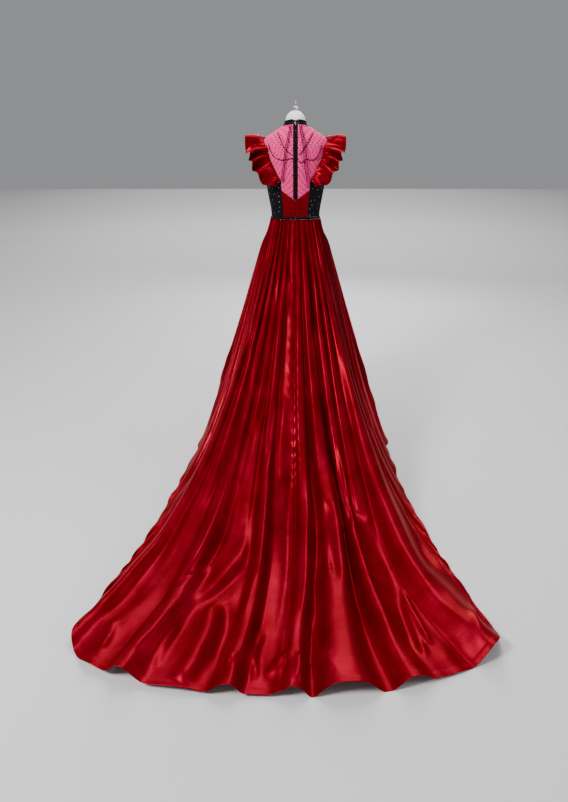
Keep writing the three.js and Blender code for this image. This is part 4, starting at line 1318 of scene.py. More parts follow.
        pucker *= np.sin(tau * run / self.pucker_pitch + 0.09 * away + 2.5 * small.at(around, 9 * out + 30))
        pucker *= 0.45 + 0.55 * slow.at(around, 11 * out + 3)
        seams = [0, BACK_GORE_FOLDS, BACK_GORE_FOLDS + SIDE_GORE_FOLDS, self.count]
        seams += [self.count - BACK_GORE_FOLDS, self.count - BACK_GORE_FOLDS - SIDE_GORE_FOLDS]
        dip = sum(np.exp(-((count - seam) * pitch / 2.4) ** 2) for seam in seams)
        hem_turn = self.hem_rise * smooth(0.986, 0.989, out)
        valley = np.exp(-((count - np.round(count)) / 0.1) ** 2) * smooth(0.03, 0.12, out)
        valley *= self.valley_share * pitch * (1 - smooth(0.4, 0.7, out)) * (1 - np.exp(-(middle / 0.4) ** 2))
        valley *= 0.75 + 0.55 * side_creases.at(around, 4 * out + 40)
        smaller = gather + second + creases + crushed + breaking + flipped + pucker
        return smaller - valley - self.seam_dip * dip + hem_turn

    def surface(self, count: np.ndarray, out: np.ndarray) -> np.ndarray:
        """Points of the skirt's outer face, in millimetres.

        Args:
            count: folds from the centre back seam.
            out: 0 at the waist to 1 at the hem.

        Returns:
            The points, the coordinates last.
        """
        around = np.interp(count, np.arange(self.count + 1), self.starts)
        drift = self.drift(around, out)
        frame = self.bare(around + drift, out)
        pitch = self.pitch(around + drift, out, frame["away"])
        lying = frame["flow"] * smooth(0.6, 1, out)
        depth = FOLD_DEPTH_SHARE * pitch * (1 - 0.2 * lying)
        side = (np.abs(np.mod(around, 1) - 0.5) - 0.145) / 0.075
        calm = 1 - 0.7 * np.exp(-side ** 2) * smooth(0.5, 1, out)
        wave = depth * calm * self.fold(count, out) + self.detail(count, out, pitch, frame["flow"])
        wave = wave + self.creased(frame)
        level_hem = mix(1 - smooth(0.75, 1, out), 1, frame["flow"])
        sideways = np.sin(frame["lean"]) * wave
        upward = level_hem * np.cos(frame["lean"]) * (wave + depth * 0.95 * smooth(0.3, 1, out))
        plan = frame["plan"] + frame["away"] * sideways[..., None]
        height = frame["height"] + upward + SKIRT_WALL * smooth(0.3, 1, out)
        height = np.minimum(height, WAIST_HEIGHT - 0.3)
        return np.concatenate([plan, height[..., None]], axis=-1)

    def gore(self, name: str, start: int, end: int) -> bpy.types.Object:
        """Build one gore.

        Args:
            name: the CAD node's name.
            start: the fold at which it starts.
            end: the fold at which it ends.

        Returns:
            The gore.
        """
        inside = np.linspace(start, end, (end - start) * self.samples_per_fold + 1)[1:-1]
        seam = np.array([0.0, 0.012, 0.028])
        count = np.unique(np.concatenate([start + seam, inside, end - seam]))
        s = np.linspace(0, 1, self.rows)
        out = np.concatenate([mix(s ** 1.5, s, 0.5) * 0.984, [0.9865, 0.989, 0.9925, 0.996, 0.9985, 1.0]])
        grid_count, grid_out = np.meshgrid(count, out[::-1], indexing="ij")
        points = self.surface(grid_count, grid_out)
        for edge in (0, -1):
            draw_in(points, edge, SKIRT_SEAM)
        cloth = Cloth(points, flat_lengths(points), self.thickness, floor=FLOOR_GAP)
        piece = cloth.piece(name + "_satin", self.wardrobe.satin)
        settle(piece, "red_satin", name)
        return piece

    def build(self) -> None:
        """Build the five gores."""
        back, side, total = BACK_GORE_FOLDS, SIDE_GORE_FOLDS, self.count
        self.gore("skirt_back_right", 0, back)
        self.gore("skirt_side_right", back, back + side)
        self.gore("skirt_front", back + side, total - back - side)
        self.gore("skirt_side_left", total - back - side, total - back)
        self.gore("skirt_back_left", total - back, total)


# Corners and edges of the bodice on the dress form.
BODICE_FOOT = WAIST_HEIGHT + WAIST_BAND_HEIGHT + 0.3
BACK_V_HEIGHT = 1258.0
BACK_V_CORNER = 1302.0
SHOULDER_SEAM_TOP = 1578.0
COLLAR_FRONT_DIP = 22.0
NECKLINE_DIP = 12.0
NECKLINE_SWELL = 9.0
BACK_LOW = (float(turn_of(57, BODICE_FOOT)), BODICE_FOOT)
BACK_HIGH = (float(turn_of(68, 1345)), 1345.0)
FRONT_LOW = (float(turn_of(60, BODICE_FOOT, True)), BODICE_FOOT)
FRONT_HIGH_TURN = float(turn_of(80, 1408, True))


def back_line(height: np.ndarray) -> np.ndarray:
    """The turn of the seam between the lower back and the side panel at a height."""
    return mix(BACK_LOW[0], BACK_HIGH[0], (height - BACK_LOW[1]) / (BACK_HIGH[1] - BACK_LOW[1]))


def back_edge_height(turn: np.ndarray) -> np.ndarray:
    """The height of the lower back's upper edge at a turn."""
    return mix(BACK_V_HEIGHT, BACK_V_CORNER, turn / back_line(BACK_V_CORNER))


def collar_seam(turn: np.ndarray) -> np.ndarray:
    """The height of the collar's seam at a turn from the middle of the back.

    Args:
        turn: 0 behind, a half circle in front.

    Returns:
        The height in millimetres.
    """
    quarter = turn / (math.pi / 2)
    behind = mix(NAPE_HEIGHT, SHOULDER_SEAM_TOP, quarter)
    return np.where(quarter <= 1, behind, SHOULDER_SEAM_TOP - COLLAR_FRONT_DIP * (1 - (quarter - 2) ** 2))


def neckline_dip(middle: np.ndarray) -> np.ndarray:
    """How far the neckline before dips below its corners; middle is 0 at a corner and 1 in the middle."""
    return NECKLINE_DIP * middle ** 2 - NECKLINE_SWELL * middle * (1 - middle) * 4


def table_line(rows: Sequence[tuple], at: np.ndarray) -> tuple:
    """Read turns and heights from a table, straight from row to row.

    Args:
        rows: turn and height pairs.
        at: row numbers that need not be whole.

    Returns:
        Turns and heights.
    """
    table = np.array(rows)
    steps = np.arange(len(table))
    return np.interp(at, steps, table[:, 0]), np.interp(at, steps, table[:, 1])


def armhole(front: bool) -> list:
    """The armhole's turns and heights, from its low end up to the shoulder.

    Args:
        front: the half before the shoulder.

    Returns:
        Turn and height pairs.
    """
    face = 1 if front else -1
    rows = [(float(turn_of(r[0], r[1], front)), r[1]) for r in RUFFLE_ROWS if r[2] == face]
    return rows[::-1] if front else rows


SHOULDER_SEAM = [(math.pi / 2, height) for height in (1531.0, 1548.0, 1564.0, SHOULDER_SEAM_TOP)]


def neckline(turn: np.ndarray) -> np.ndarray:
    """The height of the neckline before at a turn.

    Args:
        turn: 0 behind, a half circle in front.

    Returns:
        The height in millimetres.
    """
    corner = armhole(True)[0]
    u = (turn - corner[0]) / (2 * math.pi - 2 * corner[0])
    return corner[1] - neckline_dip(1 - (2 * u - 1) ** 2)


def edge_roll(u: np.ndarray, v: np.ndarray, wide: float, tall: float, reach: float = 4.0) -> np.ndarray:
    """How deep a panel's seam allowance pulls it in near its four edges, from 0 inside to 1 on an edge."""
    near = np.minimum(np.minimum(u, 1 - u) * wide, np.minimum(v, 1 - v) * tall)
    return np.exp(-(near / reach) ** 2)


@dataclass
class Panel:
    """One fitted panel of the bodice or yoke, on the dress form."""

    node: str
    slot: str
    flat: tuple
    area: float
    outline: Callable[[np.ndarray, np.ndarray], tuple]
    columns: int = 44
    rows: int = 44
    out: float = BODY_CLEARANCE + SATIN
    thickness: float = 0.8
    drag: float = 0.5
    seed: int = 3
    flip: bool = False

    def build(self, material: bpy.types.Material) -> bpy.types.Object:
        """Build the panel with soft drag lines and pulled-in seams.

        Args:
            material: the panel's finish.

        Returns:
            The panel.
        """
        u, v = np.meshgrid(np.linspace(0, 1, self.columns), np.linspace(0, 1, self.rows), indexing="ij")
        turn, height = self.outline(u, v)
        wide, tall = self.flat[0] / MM, self.flat[1] / MM
        noise = SoftNoise(self.seed, 7)
        lines = noise.at(u * 0.5 + 0.1 * v, 5 * v) + 0.6 * noise.at(u * 0.9 + 0.3, 11 * v + 4 * u)
        roll = edge_roll(u, v, wide, tall)
        pull = edge_roll(u, v, wide, tall, 9.0) * np.sin(2 * math.pi * (u * wide + v * tall) / 13)
        out = self.out - 0.35 + self.drag * 0.5 * lines * (1 - roll) - 0.7 * roll + 0.18 * pull
        points = over_form(turn, height, np.maximum(out, BODY_CLEARANCE * 0.5 + self.thickness))
        for edge in (0, -1):
            draw_in(points, edge, PANEL_SEAM)
            draw_in(points.swapaxes(0, 1), edge, PANEL_SEAM)
        if self.flip:
            points = mirrored(points)
        cloth = Cloth(points, flat_lengths(points), self.thickness)
        piece = settle(cloth.piece(self.node + "_cloth", material), self.slot, self.node)
        return piece


@dataclass
class Bodice:
    """The satin lower back and front, and the dark side panels with their scattered crystals."""

    wardrobe: Wardrobe
    crystal_count: int = 46
    crystal_spacing: float = 19.0
    crystal_radii: tuple = (1.1, 1.7)
    facets: int = 8

    @staticmethod
    def back_half(u: np.ndarray, v: np.ndarray) -> tuple:
        """The right half of the lower back."""
        turn = back_line(mix(BODICE_FOOT, BACK_V_CORNER, v)) * u
        return turn, mix(BODICE_FOOT, mix(BACK_V_HEIGHT, BACK_V_CORNER, u), v)

    @staticmethod
    def side_panel(u: np.ndarray, v: np.ndarray) -> tuple:
        """The dark panel round the right side.

        Args:
            u: 0 to 1 across the panel.
            v: 0 at its foot to 1 at its top.

        Returns:
            Turns and heights.
        """
        corner = armhole(True)[0]
        top = np.array([
            BACK_HIGH, (float(turn_of(96, 1364)), 1364.0), (float(turn_of(124, 1380)), 1380.0),
            (math.pi / 2, 1388.0), (float(turn_of(122, 1393, True)), 1393.0), corner,
            (FRONT_HIGH_TURN, float(neckline(FRONT_HIGH_TURN))),
        ])
        high = row_at(top, u * (len(top) - 1))
        foot = mix(BACK_LOW[0], FRONT_LOW[0], u)
        return mix(foot, high[..., 0], v), mix(BODICE_FOOT, high[..., 1], v)

    @staticmethod
    def front_panel(u: np.ndarray, v: np.ndarray) -> tuple:
        """The satin front.

        Args:
            u: 0 to 1 across the panel.
            v: 0 at its foot to 1 at its top.

        Returns:
            Turns and heights.
        """
        high = mix(FRONT_HIGH_TURN, 2 * math.pi - FRONT_HIGH_TURN, u)
        foot = mix(FRONT_LOW[0], 2 * math.pi - FRONT_LOW[0], u)
        return mix(foot, high, v), mix(BODICE_FOOT, neckline(high), v)

    def crystals(self, side: Side) -> bpy.types.Object:
        """Small cut crystals set on a side panel, scattered evenly by seeded trials.

        Args:
            side: which panel.

        Returns:
            All of that side's crystals as one piece.
        """
        rng = np.random.default_rng(21 if side is Side.RIGHT else 22)
        spots: list = []
        while len(spots) < self.crystal_count:
            u, v = rng.uniform(0.04, 0.96, 2)
            turn, height = self.side_panel(np.array([[u]]), np.array([[v]]))
            point = over_form(turn, height, np.full((1, 1), BODY_CLEARANCE + SATIN - 0.1))[0, 0]
            if all(np.linalg.norm(point - spot[0]) > self.crystal_spacing for spot in spots):
                spots.append((point, skin_normal(turn, height)[0, 0]))
        sides = self.facets
        points, faces = [], []
        for point, normal in spots:
            size = rng.uniform(*self.crystal_radii)
            level = np.cross(normal, (0, 0, 1.0))
            level /= np.linalg.norm(level)
            other = np.cross(level, normal)
            first = len(points)
            for ring, (radius, rise) in enumerate(((1.0, 0.0), (1.0, 0.25), (0.55, 0.62))):
                for k in range(sides):
                    angle = (k + 0.5 * (ring == 2)) * 2 * math.pi / sides
                    across = (math.cos(angle) * level + math.sin(angle) * other) * radius * size
                    points.append(point + across + normal * rise * size)
            middle, top = first + sides, first + 2 * sides
            faces.append([first + k for k in reversed(range(sides))])
            faces.append([top + k for k in range(sides)])
            for k in range(sides):
                n = (k + 1) % sides
                faces.append([first + k, first + n, middle + n, middle + k])
                faces.append([middle + k, middle + n, top + k])
                faces.append([middle + n, top + n, top + k])
        array = np.array(points)
        if side is Side.LEFT:
            array[:, 0] *= -1
            faces = [face[::-1] for face in faces]
        piece = mesh_piece(f"crystals_{side.value}", array * MM, faces, self.wardrobe.crystal,
                           smooth_faces=False)
        return settle(piece, "zip_silver")

    def build(self) -> None:
        """Build all bodice panels."""
        satin, black = self.wardrobe.satin, self.wardrobe.black
        for side in Side:
            flip = side is Side.LEFT
            Panel(f"bodice_back_{side.value}", "red_satin", (0.073, 0.125), 0.0070, self.back_half,
                  drag=1.9, seed=31 + flip, flip=flip).build(satin)
            Panel(f"bodice_side_{side.value}", "black_cloth", (0.245, 0.232), 0.0475, self.side_panel,
                  columns=80, rows=60, drag=0.4, seed=35 + flip, flip=flip).build(black)
            self.crystals(side)
        Panel("bodice_front", "red_satin", (0.185, 0.24), 0.0345, self.front_panel,
              columns=70, rows=64, drag=0.8, seed=41).build(satin)


@dataclass
class Yoke:
    """The sheer dotted yoke: two halves behind and one piece before."""

    wardrobe: Wardrobe
    out: float = BODY_CLEARANCE + TULLE

    @staticmethod
    def back_half(u: np.ndarray, v: np.ndarray) -> tuple:
        """The right half behind, between the zip and the armhole.

        Args:
            u: 0 to 1 across the panel.
            v: 0 at its foot to 1 at its top.

        Returns:
            Turns and heights.
        """
        corner = (float(back_line(BACK_V_CORNER)), BACK_V_CORNER)
        outer = [corner, *armhole(False), (1.27, 1517.0), *SHOULDER_SEAM]
        outer_turn, outer_height = table_line(outer, v * (len(outer) - 1))
        foot = float(back_edge_height(turn_of(ZIP_EDGE, BACK_V_HEIGHT)))
        top = float(collar_seam(turn_of(ZIP_EDGE, NAPE_HEIGHT)))
        inner_height = mix(foot, top, v)
        inner_turn = turn_of(ZIP_EDGE, inner_height)
        return mix(inner_turn, outer_turn, u), mix(inner_height, outer_height, u)

    @staticmethod
    def front(u: np.ndarray, v: np.ndarray) -> tuple:
        """The piece before, from the neckline to the collar.

        Args:
            u: 0 to 1 across the panel.
            v: 0 at its foot to 1 at its top.

        Returns:
            Turns and heights.
        """
        outer = [*armhole(True), (1.87, 1522.0), *SHOULDER_SEAM]
        turn, height = table_line(outer, v * (len(outer) - 1))
        middle = 1 - (2 * u - 1) ** 2
        dip = mix(neckline_dip(middle), COLLAR_FRONT_DIP * middle, v)
        return mix(turn, 2 * math.pi - turn, u), height - dip

    def build(self) -> None:
        """Build the three tulle pieces."""
        for side in Side:
            Panel(f"yoke_back_{side.value}", "red_tulle", (0.165, 0.335), 0.0345, self.back_half, columns=60,
                  rows=110, out=self.out + 0.2, thickness=0.4, drag=0.5, seed=51,
                  flip=side is Side.LEFT).build(self.wardrobe.tulle)
        Panel("yoke_front", "red_tulle", (0.34, 0.21), 0.048, self.front, columns=110, rows=70,
              out=self.out + 0.2, thickness=0.4, drag=0.5, seed=55).build(self.wardrobe.tulle)


@dataclass
class Bands:
    """The standing collar with its beaded edge, and the narrow black band round the waist seam."""

    wardrobe: Wardrobe
    collar_out: float = BODY_CLEARANCE - 0.4 + SATIN
    edge_bead: float = 1.25

    def collar(self) -> bpy.types.Object:
        """The collar, open at the zip, with a rolled seam below and a corded upper edge.

        Returns:
            The piece.
        """
        opening = float(turn_of(ZIP_EDGE + 0.3, NECK_TOP)) + 0.004
        turns = np.linspace(opening, 2 * math.pi - opening, 220)
        rise = np.linspace(0.6, COLLAR_HEIGHT, 26)
        turn, up = np.meshgrid(turns, rise, indexing="ij")
        nearer = np.where(turn > math.pi, 2 * math.pi - turn, turn)
        height = collar_seam(nearer) + up
        roll = 0.5 * np.exp(-((up - 1.4) / 1.3) ** 2) + 0.5 * np.exp(-((up - COLLAR_HEIGHT + 1.2) / 1.2) ** 2)
        ease = 0.25 * np.sin(9 * turn + 0.3 * up) * np.sin(math.pi * up / COLLAR_HEIGHT)
        points = over_form(turn, height, self.collar_out - 0.5 + roll + ease)
        cloth = Cloth(points, flat_lengths(points), 1.2)
        piece = settle(cloth.piece("collar_band", self.wardrobe.black), "black_cloth", "collar")
        return piece

    def collar_beads(self) -> bpy.types.Object:
        """Tiny beads sewn side by side along the collar's upper edge.

        Returns:
            The piece.
        """
        opening = float(turn_of(ZIP_EDGE + 0.3, NECK_TOP)) + 0.02
        turns = np.linspace(opening, 2 * math.pi - opening, 2000)
        nearer = np.where(turns > math.pi, 2 * math.pi - turns, turns)
        line = over_form(turns, collar_seam(nearer) + COLLAR_HEIGHT - 0.2,
                         np.full(turns.shape, self.collar_out - 0.7))
        centres = evenly(line, 2 * self.edge_bead + 0.25)
        return settle(beads("collar_beads", centres, self.edge_bead, self.wardrobe.bead), "black_bead")

    def waist(self) -> bpy.types.Object:
        """The flat, narrow black band round the waist seam.

        Returns:
            The piece.
        """
        turns = np.linspace(0, 2 * math.pi, 160, endpoint=False)
        rise = np.linspace(0.05, WAIST_BAND_HEIGHT, 12)
        turn, up = np.meshgrid(turns, rise, indexing="ij")
        belly = np.sin(math.pi * up / WAIST_BAND_HEIGHT)
        out = mix(BODY_CLEARANCE + 2.6, WAIST_BAND_OUT, belly ** 0.5) + 0.15 * np.sin(31 * turn)
        points = over_form(turn, WAIST_HEIGHT + up, out)
        cloth = Cloth(points, flat_lengths(points), 1.2, closed=True)
        piece = settle(cloth.piece("waist_black_band", self.wardrobe.black), "black_cloth", "waist_band")
        return piece

    def build(self) -> None:
        """Build the collar and the waist band."""
        self.collar()
        self.collar_beads()
        self.waist()


def evenly(line: np.ndarray, step: float) -> np.ndarray:
    """Points along a line at even steps, in the line's own units.

    Args:
        line: the line's points.
        step: about how far apart.

    Returns:
        The new points.
    """
    lengths = np.concatenate([[0], np.cumsum(np.linalg.norm(np.diff(line, axis=0), axis=1))])
    places = np.linspace(0, lengths[-1], max(2, int(round(lengths[-1] / step)) + 1))
    return np.stack([np.interp(places, lengths, line[:, k]) for k in range(3)], axis=1)


def bead_shape() -> tuple:
    """One bead: a unit ball's points and faces, which each row copies.

    Returns:
        The points and the faces.
    """
    mesh = bmesh.new()
    bmesh.ops.create_icosphere(mesh, subdivisions=2, radius=1.0)
    points = np.array([v.co[:] for v in mesh.verts])
    faces = [[v.index for v in face.verts] for face in mesh.faces]
    mesh.free()
    return points, faces


def thread_tube(centres: np.ndarray, radius: float, first: int) -> tuple:
    """A six-sided thread through bead centres.

    Args:
        centres: the bead centres.
        radius: the thread's radius.
        first: the number of its first point in the string's mesh.

    Returns:
        The points and the faces.
    """
    run = unit(np.gradient(centres, axis=0))
    side = unit(np.cross(run, (0.0, 1.0, 0.0)))
    other = np.cross(run, side)
    angles = np.arange(6) * math.pi / 3
    ring = np.cos(angles)[None, :, None] * side[:, None] + np.sin(angles)[None, :, None] * other[:, None]
    faces = []
    for k in range(len(centres) - 1):
        a = first + k * 6
        faces += [[a + j, a + 6 + j, a + 6 + (j + 1) % 6, a + (j + 1) % 6] for j in range(6)]
    last = first + (len(centres) - 1) * 6
    faces += [[first + j for j in range(6)], [last + j for j in range(5, -1, -1)]]
    return (centres[:, None] + ring * radius).reshape(-1, 3), faces


def beads(name: str, centres: np.ndarray, radius: float, material: bpy.types.Material,
          thread: bool = False) -> bpy.types.Object:
    """A row of beads, with the thread through them if asked.

    Args:
        name: the piece's name.
        centres: bead centres in millimetres.
        radius: the beads' radius in millimetres.
        material: the finish.
        thread: add the thread.

    Returns:
        The beads as one piece.
    """
    ball, ball_faces = bead_shape()
    points = (centres[:, None] + ball[None] * radius).reshape(-1, 3)
    faces = [[index + k * len(ball) for index in face] for k in range(len(centres)) for face in ball_faces]
    if thread:
        tube, tube_faces = thread_tube(centres, radius * THREAD_SHARE, len(points))
        points = np.concatenate([points, tube])
        faces += tube_faces
    return mesh_piece(name, points * MM, faces, material)


@dataclass
class BeadDrape:
    """The fine bead strings that hang across the open-looking back."""

    wardrobe: Wardrobe
    radius: float = BEAD_DIAMETER / 2
    spacing: float = 3.9

    def route(self, layer: int, points: Sequence[tuple]) -> np.ndarray:
        """The string's route over the back, smooth through its points, in millimetres.

        Args:
            layer: 0 on the tulle, 1 over the strings below.
            points: sides and heights.

        Returns:
            The route's points.
        """
        out = BEAD_LIFT + self.radius + layer * (BEAD_DIAMETER + 0.2) + BODY_CLEARANCE + TULLE - 0.25
        table = np.array([
            over_form(np.array(math.copysign(float(turn_of(side, height)), side)), np.array(float(height)),
                      np.array(out))
            for side, height in points
        ])
        return row_at(table, np.linspace(0, len(table) - 1, 160))

    def build(self) -> None:
        for name, (layer, points) in BEAD_STRINGS.items():
            line = self.route(layer, points)
            centres = evenly(line, self.spacing)
            piece = beads(f"string_{name}", centres, self.radius, self.wardrobe.bead, thread=True)
            settle(piece, "black_bead", f"beads_{name}")
            path = evenly(line, 5.0) * MM
            length = float(np.linalg.norm(np.diff(path, axis=0), axis=1).sum())


@dataclass
class ZipClosure:
    """The centre back zip: tapes, teeth, slider and the hinged pull tab."""

    wardrobe: Wardrobe
    chain_half: float = 2.0
    top: float = NAPE_HEIGHT + COLLAR_HEIGHT - 5
    pivot: tuple = (0.0, -0.056632, 1.596629)
    chain_out: float = BODY_CLEARANCE + 3.6
    tooth_size: tuple = (2.5, 1.5, 1.25)
    tooth_pitch: float = 1.45
    core_half: float = 1.85
    core_depth: float = 0.55
    slider_size: tuple = (0.0064, 0.0014, 0.0098)
    outline_count: int = 48
    eye_count: int = 24
    eye_radius: float = 0.95
    tab_depth: float = 1.1

    def foot(self, side: float) -> float:
        """The height where the zip starts, above the lower back's edge."""
        return float(back_edge_height(turn_of(side, BACK_V_HEIGHT))) + 0.6

    def tape(self, side: Side) -> bpy.types.Object:
        """One woven tape with a raised edge beside the teeth.

        Args:
            side: which tape.

        Returns:
            The piece.
        """
        sides = np.linspace(self.chain_half + 0.3, ZIP_EDGE - 0.3, 9)
        v = np.linspace(0, 1, 120)
        across, up = np.meshgrid(sides, v, indexing="ij")
        foot = np.array([self.foot(s) for s in sides])[:, None]
        height = mix(foot, self.top, up)
        ripple = 0.12 * np.sin(height / 9) * across / 10
        out = BODY_CLEARANCE + TULLE - 0.1 - 0.35 * smooth(4, 10, across) + ripple
        points = over_form(turn_of(across, height), height, out)
        if side is Side.LEFT:
            points = mirrored(points)
        cloth = Cloth(points, flat_lengths(points), 0.7)
        piece = settle(cloth.piece(f"zip_tape_{side.value}_cloth", self.wardrobe.black), "black_cloth",
                       f"zip_tape_{side.value}")
        return piece

    @staticmethod
    def on_back(height: float, out: float) -> tuple:
        """A point this far out from the middle of the back, and the skin's normal there."""
        turn, level = np.array(0.0), np.array(height)
        return over_form(turn, level, np.array(out)), skin_normal(turn, level)

    def tooth(self) -> tuple:
        """One low hooked tooth, lying on its side.

        Returns:
            The points and the faces.
        """
        deselect()
        bpy.ops.mesh.primitive_cube_add(size=1.0, location=(0, 0, 0))
        bpy.ops.object.mode_set(mode="EDIT")
        bpy.ops.mesh.select_all(action="SELECT")
        bpy.ops.transform.resize(value=self.tooth_size, center_override=(0, 0, 0))
        bpy.ops.mesh.select_mode(type="FACE")
        select_faces(lambda centre, normal: normal.x < -0.9)
        bpy.ops.transform.resize(value=(1, 0.8, 0.6), center_override=(-self.tooth_size[0] / 2, 0, 0))
        bpy.ops.object.mode_set(mode="OBJECT")
        model = bpy.context.object
        points = np.array([v.co[:] for v in model.data.vertices])
        faces = [list(p.vertices) for p in model.data.polygons]
        bpy.data.objects.remove(model)
        return points, faces

    def core(self, first: int) -> tuple:
        """The tapes' dark woven core, a flat bar under the teeth.

        Args:
            first: the number of its first point in the chain's mesh.

        Returns:
            The points and the faces.
        """
        points, faces = [], []
        half, deep = self.core_half, self.core_depth
        corners = ((-half, 0.0), (half, 0.0), (half, deep), (-half, deep))
        levels = np.linspace(self.foot(0) + 0.5, self.top - 0.4, 60)
        for k, height in enumerate(levels):
            at, normal = self.on_back(height, BODY_CLEARANCE + 0.15)
            points.append(np.array([at + (side, 0, 0) + normal * rise for side, rise in corners]))
            ring = first + 4 * k
            if k:
                below = ring - 4
                faces += [[below + (i + 1) % 4, below + i, ring + i, ring + (i + 1) % 4] for i in range(4)]
        faces += [[first, first + 1, first + 2, first + 3], [ring + 3, ring + 2, ring + 1, ring]]
        return points, faces

    def teeth(self) -> bpy.types.Object:
        """The chain: one tooth copied up both sides in turn, on the core.

        Returns:
            The piece.
        """
        shape, shape_faces = self.tooth()
        heights = np.arange(self.foot(0) + 1.2, self.top - 1.0, self.tooth_pitch)
        points, faces = [], []
        for k, height in enumerate(heights):
            sign = 1 if k % 2 else -1
            at, normal = self.on_back(height, BODY_CLEARANCE + 1.25)
            up = np.cross(normal, (-1.0, 0.0, 0.0))
            block = shape + (0.7, 0, 0)
            local = block[:, 0:1] * (sign, 0, 0) + block[:, 1:2] * -normal[None] + block[:, 2:3] * up[None]
            first = len(points) * len(shape)
            points.append(at + local)
            turned = np.dot(np.cross((sign, 0, 0), -normal), up) < 0
            faces += [[first + i for i in (face[::-1] if turned else face)] for face in shape_faces]
        core_points, core_faces = self.core(len(points) * len(shape))
        piece = mesh_piece("zip_teeth", np.concatenate(points + core_points) * MM, faces + core_faces,
                           self.wardrobe.teeth, smooth_faces=False)
        return settle(piece, "black_bead", "zip_chain")

    def tilt(self, high: float, low: float) -> float:
        """How far the chain leans from upright between two heights, in radians."""
        run = self.on_back(high, self.chain_out)[0] - self.on_back(low, self.chain_out)[0]
        return math.atan2(run[1], run[2])

    def slider(self) -> bpy.types.Object:
        """The slider: a waisted plate with a bridge that the tab hangs from.

        Returns:
            The piece.
        """
        deselect()
        bpy.ops.mesh.primitive_cube_add(size=1.0, location=(0, 0, 0))
        bpy.ops.object.mode_set(mode="EDIT")
        bpy.ops.mesh.select_all(action="SELECT")
        bpy.ops.transform.resize(value=self.slider_size, center_override=(0, 0, 0))
        bpy.ops.mesh.subdivide(number_cuts=3)
        tall = self.slider_size[2]
        mesh = bmesh.from_edit_mesh(bpy.context.object.data)
        for vert in mesh.verts:
            vert.co.x *= 1 - 0.22 * math.cos(math.pi * vert.co.z / tall) + 0.1 * (vert.co.z > 0)
        bmesh.update_edit_mesh(bpy.context.object.data)
        bpy.ops.mesh.select_mode(type="FACE")
        select_faces(lambda centre, normal: normal.y < -0.9 and abs(centre.x) < 0.0016
                     and 0.0 < centre.z < 0.005)
        for step, rise in ((0.0009, 0.9), (0.0011, 0.86), (0.0010, 0.7)):
            bpy.ops.mesh.extrude_region_move(TRANSFORM_OT_translate={"value": (0, -step, 0)})
            bpy.ops.transform.resize(value=(rise, 1, rise), center_override=(0, 0, 0.0026))
        select_edges(lambda a, b: a.y < -0.0005 and b.y < -0.0005 and abs(a.y) < 0.0008)
        bpy.ops.mesh.bevel(offset=0.00022, segments=2)
        bpy.ops.object.mode_set(mode="OBJECT")
        piece = named("zip_slider_body", self.wardrobe.silver)
        seat = self.on_back(SLIDER_HEIGHT, self.chain_out)[0] * MM
        lean = Matrix.Rotation(-self.tilt(SLIDER_HEIGHT + 5, SLIDER_HEIGHT - 5), 4, "X")
        piece.data.transform(Matrix.Translation(Vector(seat) + Vector((0, -0.0004, 0))) @ lean)
        return settle(piece, "zip_silver", "zip_slider")

    def pull(self) -> bpy.types.Object:
        """The teardrop pull tab with its eye, hanging from the bridge.

        Returns:
            The piece.
        """
        outline = []
        rim, eye = self.outline_count, self.eye_count
        for k in range(rim):
            angle = k / rim * 2 * math.pi
            down = -7.2 - 9.2 * math.cos(angle)
            half = mix(1.9, 3.0, float(smooth(0, 1, (-down) / 16.0)))
            side = math.copysign(abs(math.sin(angle)) ** 0.6, math.sin(angle))
            outline.append((half * side, down))
        angles = np.linspace(0, 2 * math.pi, eye, False)
        hole = [(self.eye_radius * math.sin(a), -0.2 + self.eye_radius * math.cos(a)) for a in angles]
        mesh = bpy.data.meshes.new("pull_outline")
        points = [(x, 0, z) for x, z in outline] + [(x, 0, z) for x, z in hole]
        edges = [(k, (k + 1) % rim) for k in range(rim)]
        edges += [(rim + k, rim + (k + 1) % eye) for k in range(eye)]
        mesh.from_pydata(points, edges, [])
        piece = bpy.data.objects.new("zip_pull_tab", mesh)
        bpy.context.scene.collection.objects.link(piece)
        deselect()
        bpy.context.view_layer.objects.active = piece
        piece.select_set(True)
        bpy.ops.object.mode_set(mode="EDIT")
        bpy.ops.mesh.select_all(action="SELECT")
        bpy.ops.mesh.fill()
        bpy.ops.mesh.select_all(action="SELECT")
        bpy.ops.mesh.extrude_region_move(TRANSFORM_OT_translate={"value": (0, self.tab_depth, 0)})
        bpy.ops.mesh.select_all(action="SELECT")
        bpy.ops.mesh.normals_make_consistent(inside=False)
        bpy.ops.transform.translate(value=(0, -self.tab_depth / 2, 0))
        bpy.ops.transform.resize(value=(MM, MM, MM), center_override=(0, 0, 0))
        bpy.ops.object.mode_set(mode="OBJECT")
        piece = named("zip_pull_tab", self.wardrobe.silver)
        lean = Matrix.Rotation(-self.tilt(SLIDER_HEIGHT, SLIDER_HEIGHT - 17), 4, "X")
        piece.data.transform(Matrix.Translation(Vector(self.pivot)) @ lean)
        return settle(piece, "zip_silver", "zip_pull", body=TAB_BODY)

    def build(self) -> None:
        """Build the whole closure."""
        for side in Side:
            self.tape(side)
        self.teeth()
        self.slider()
        self.pull()


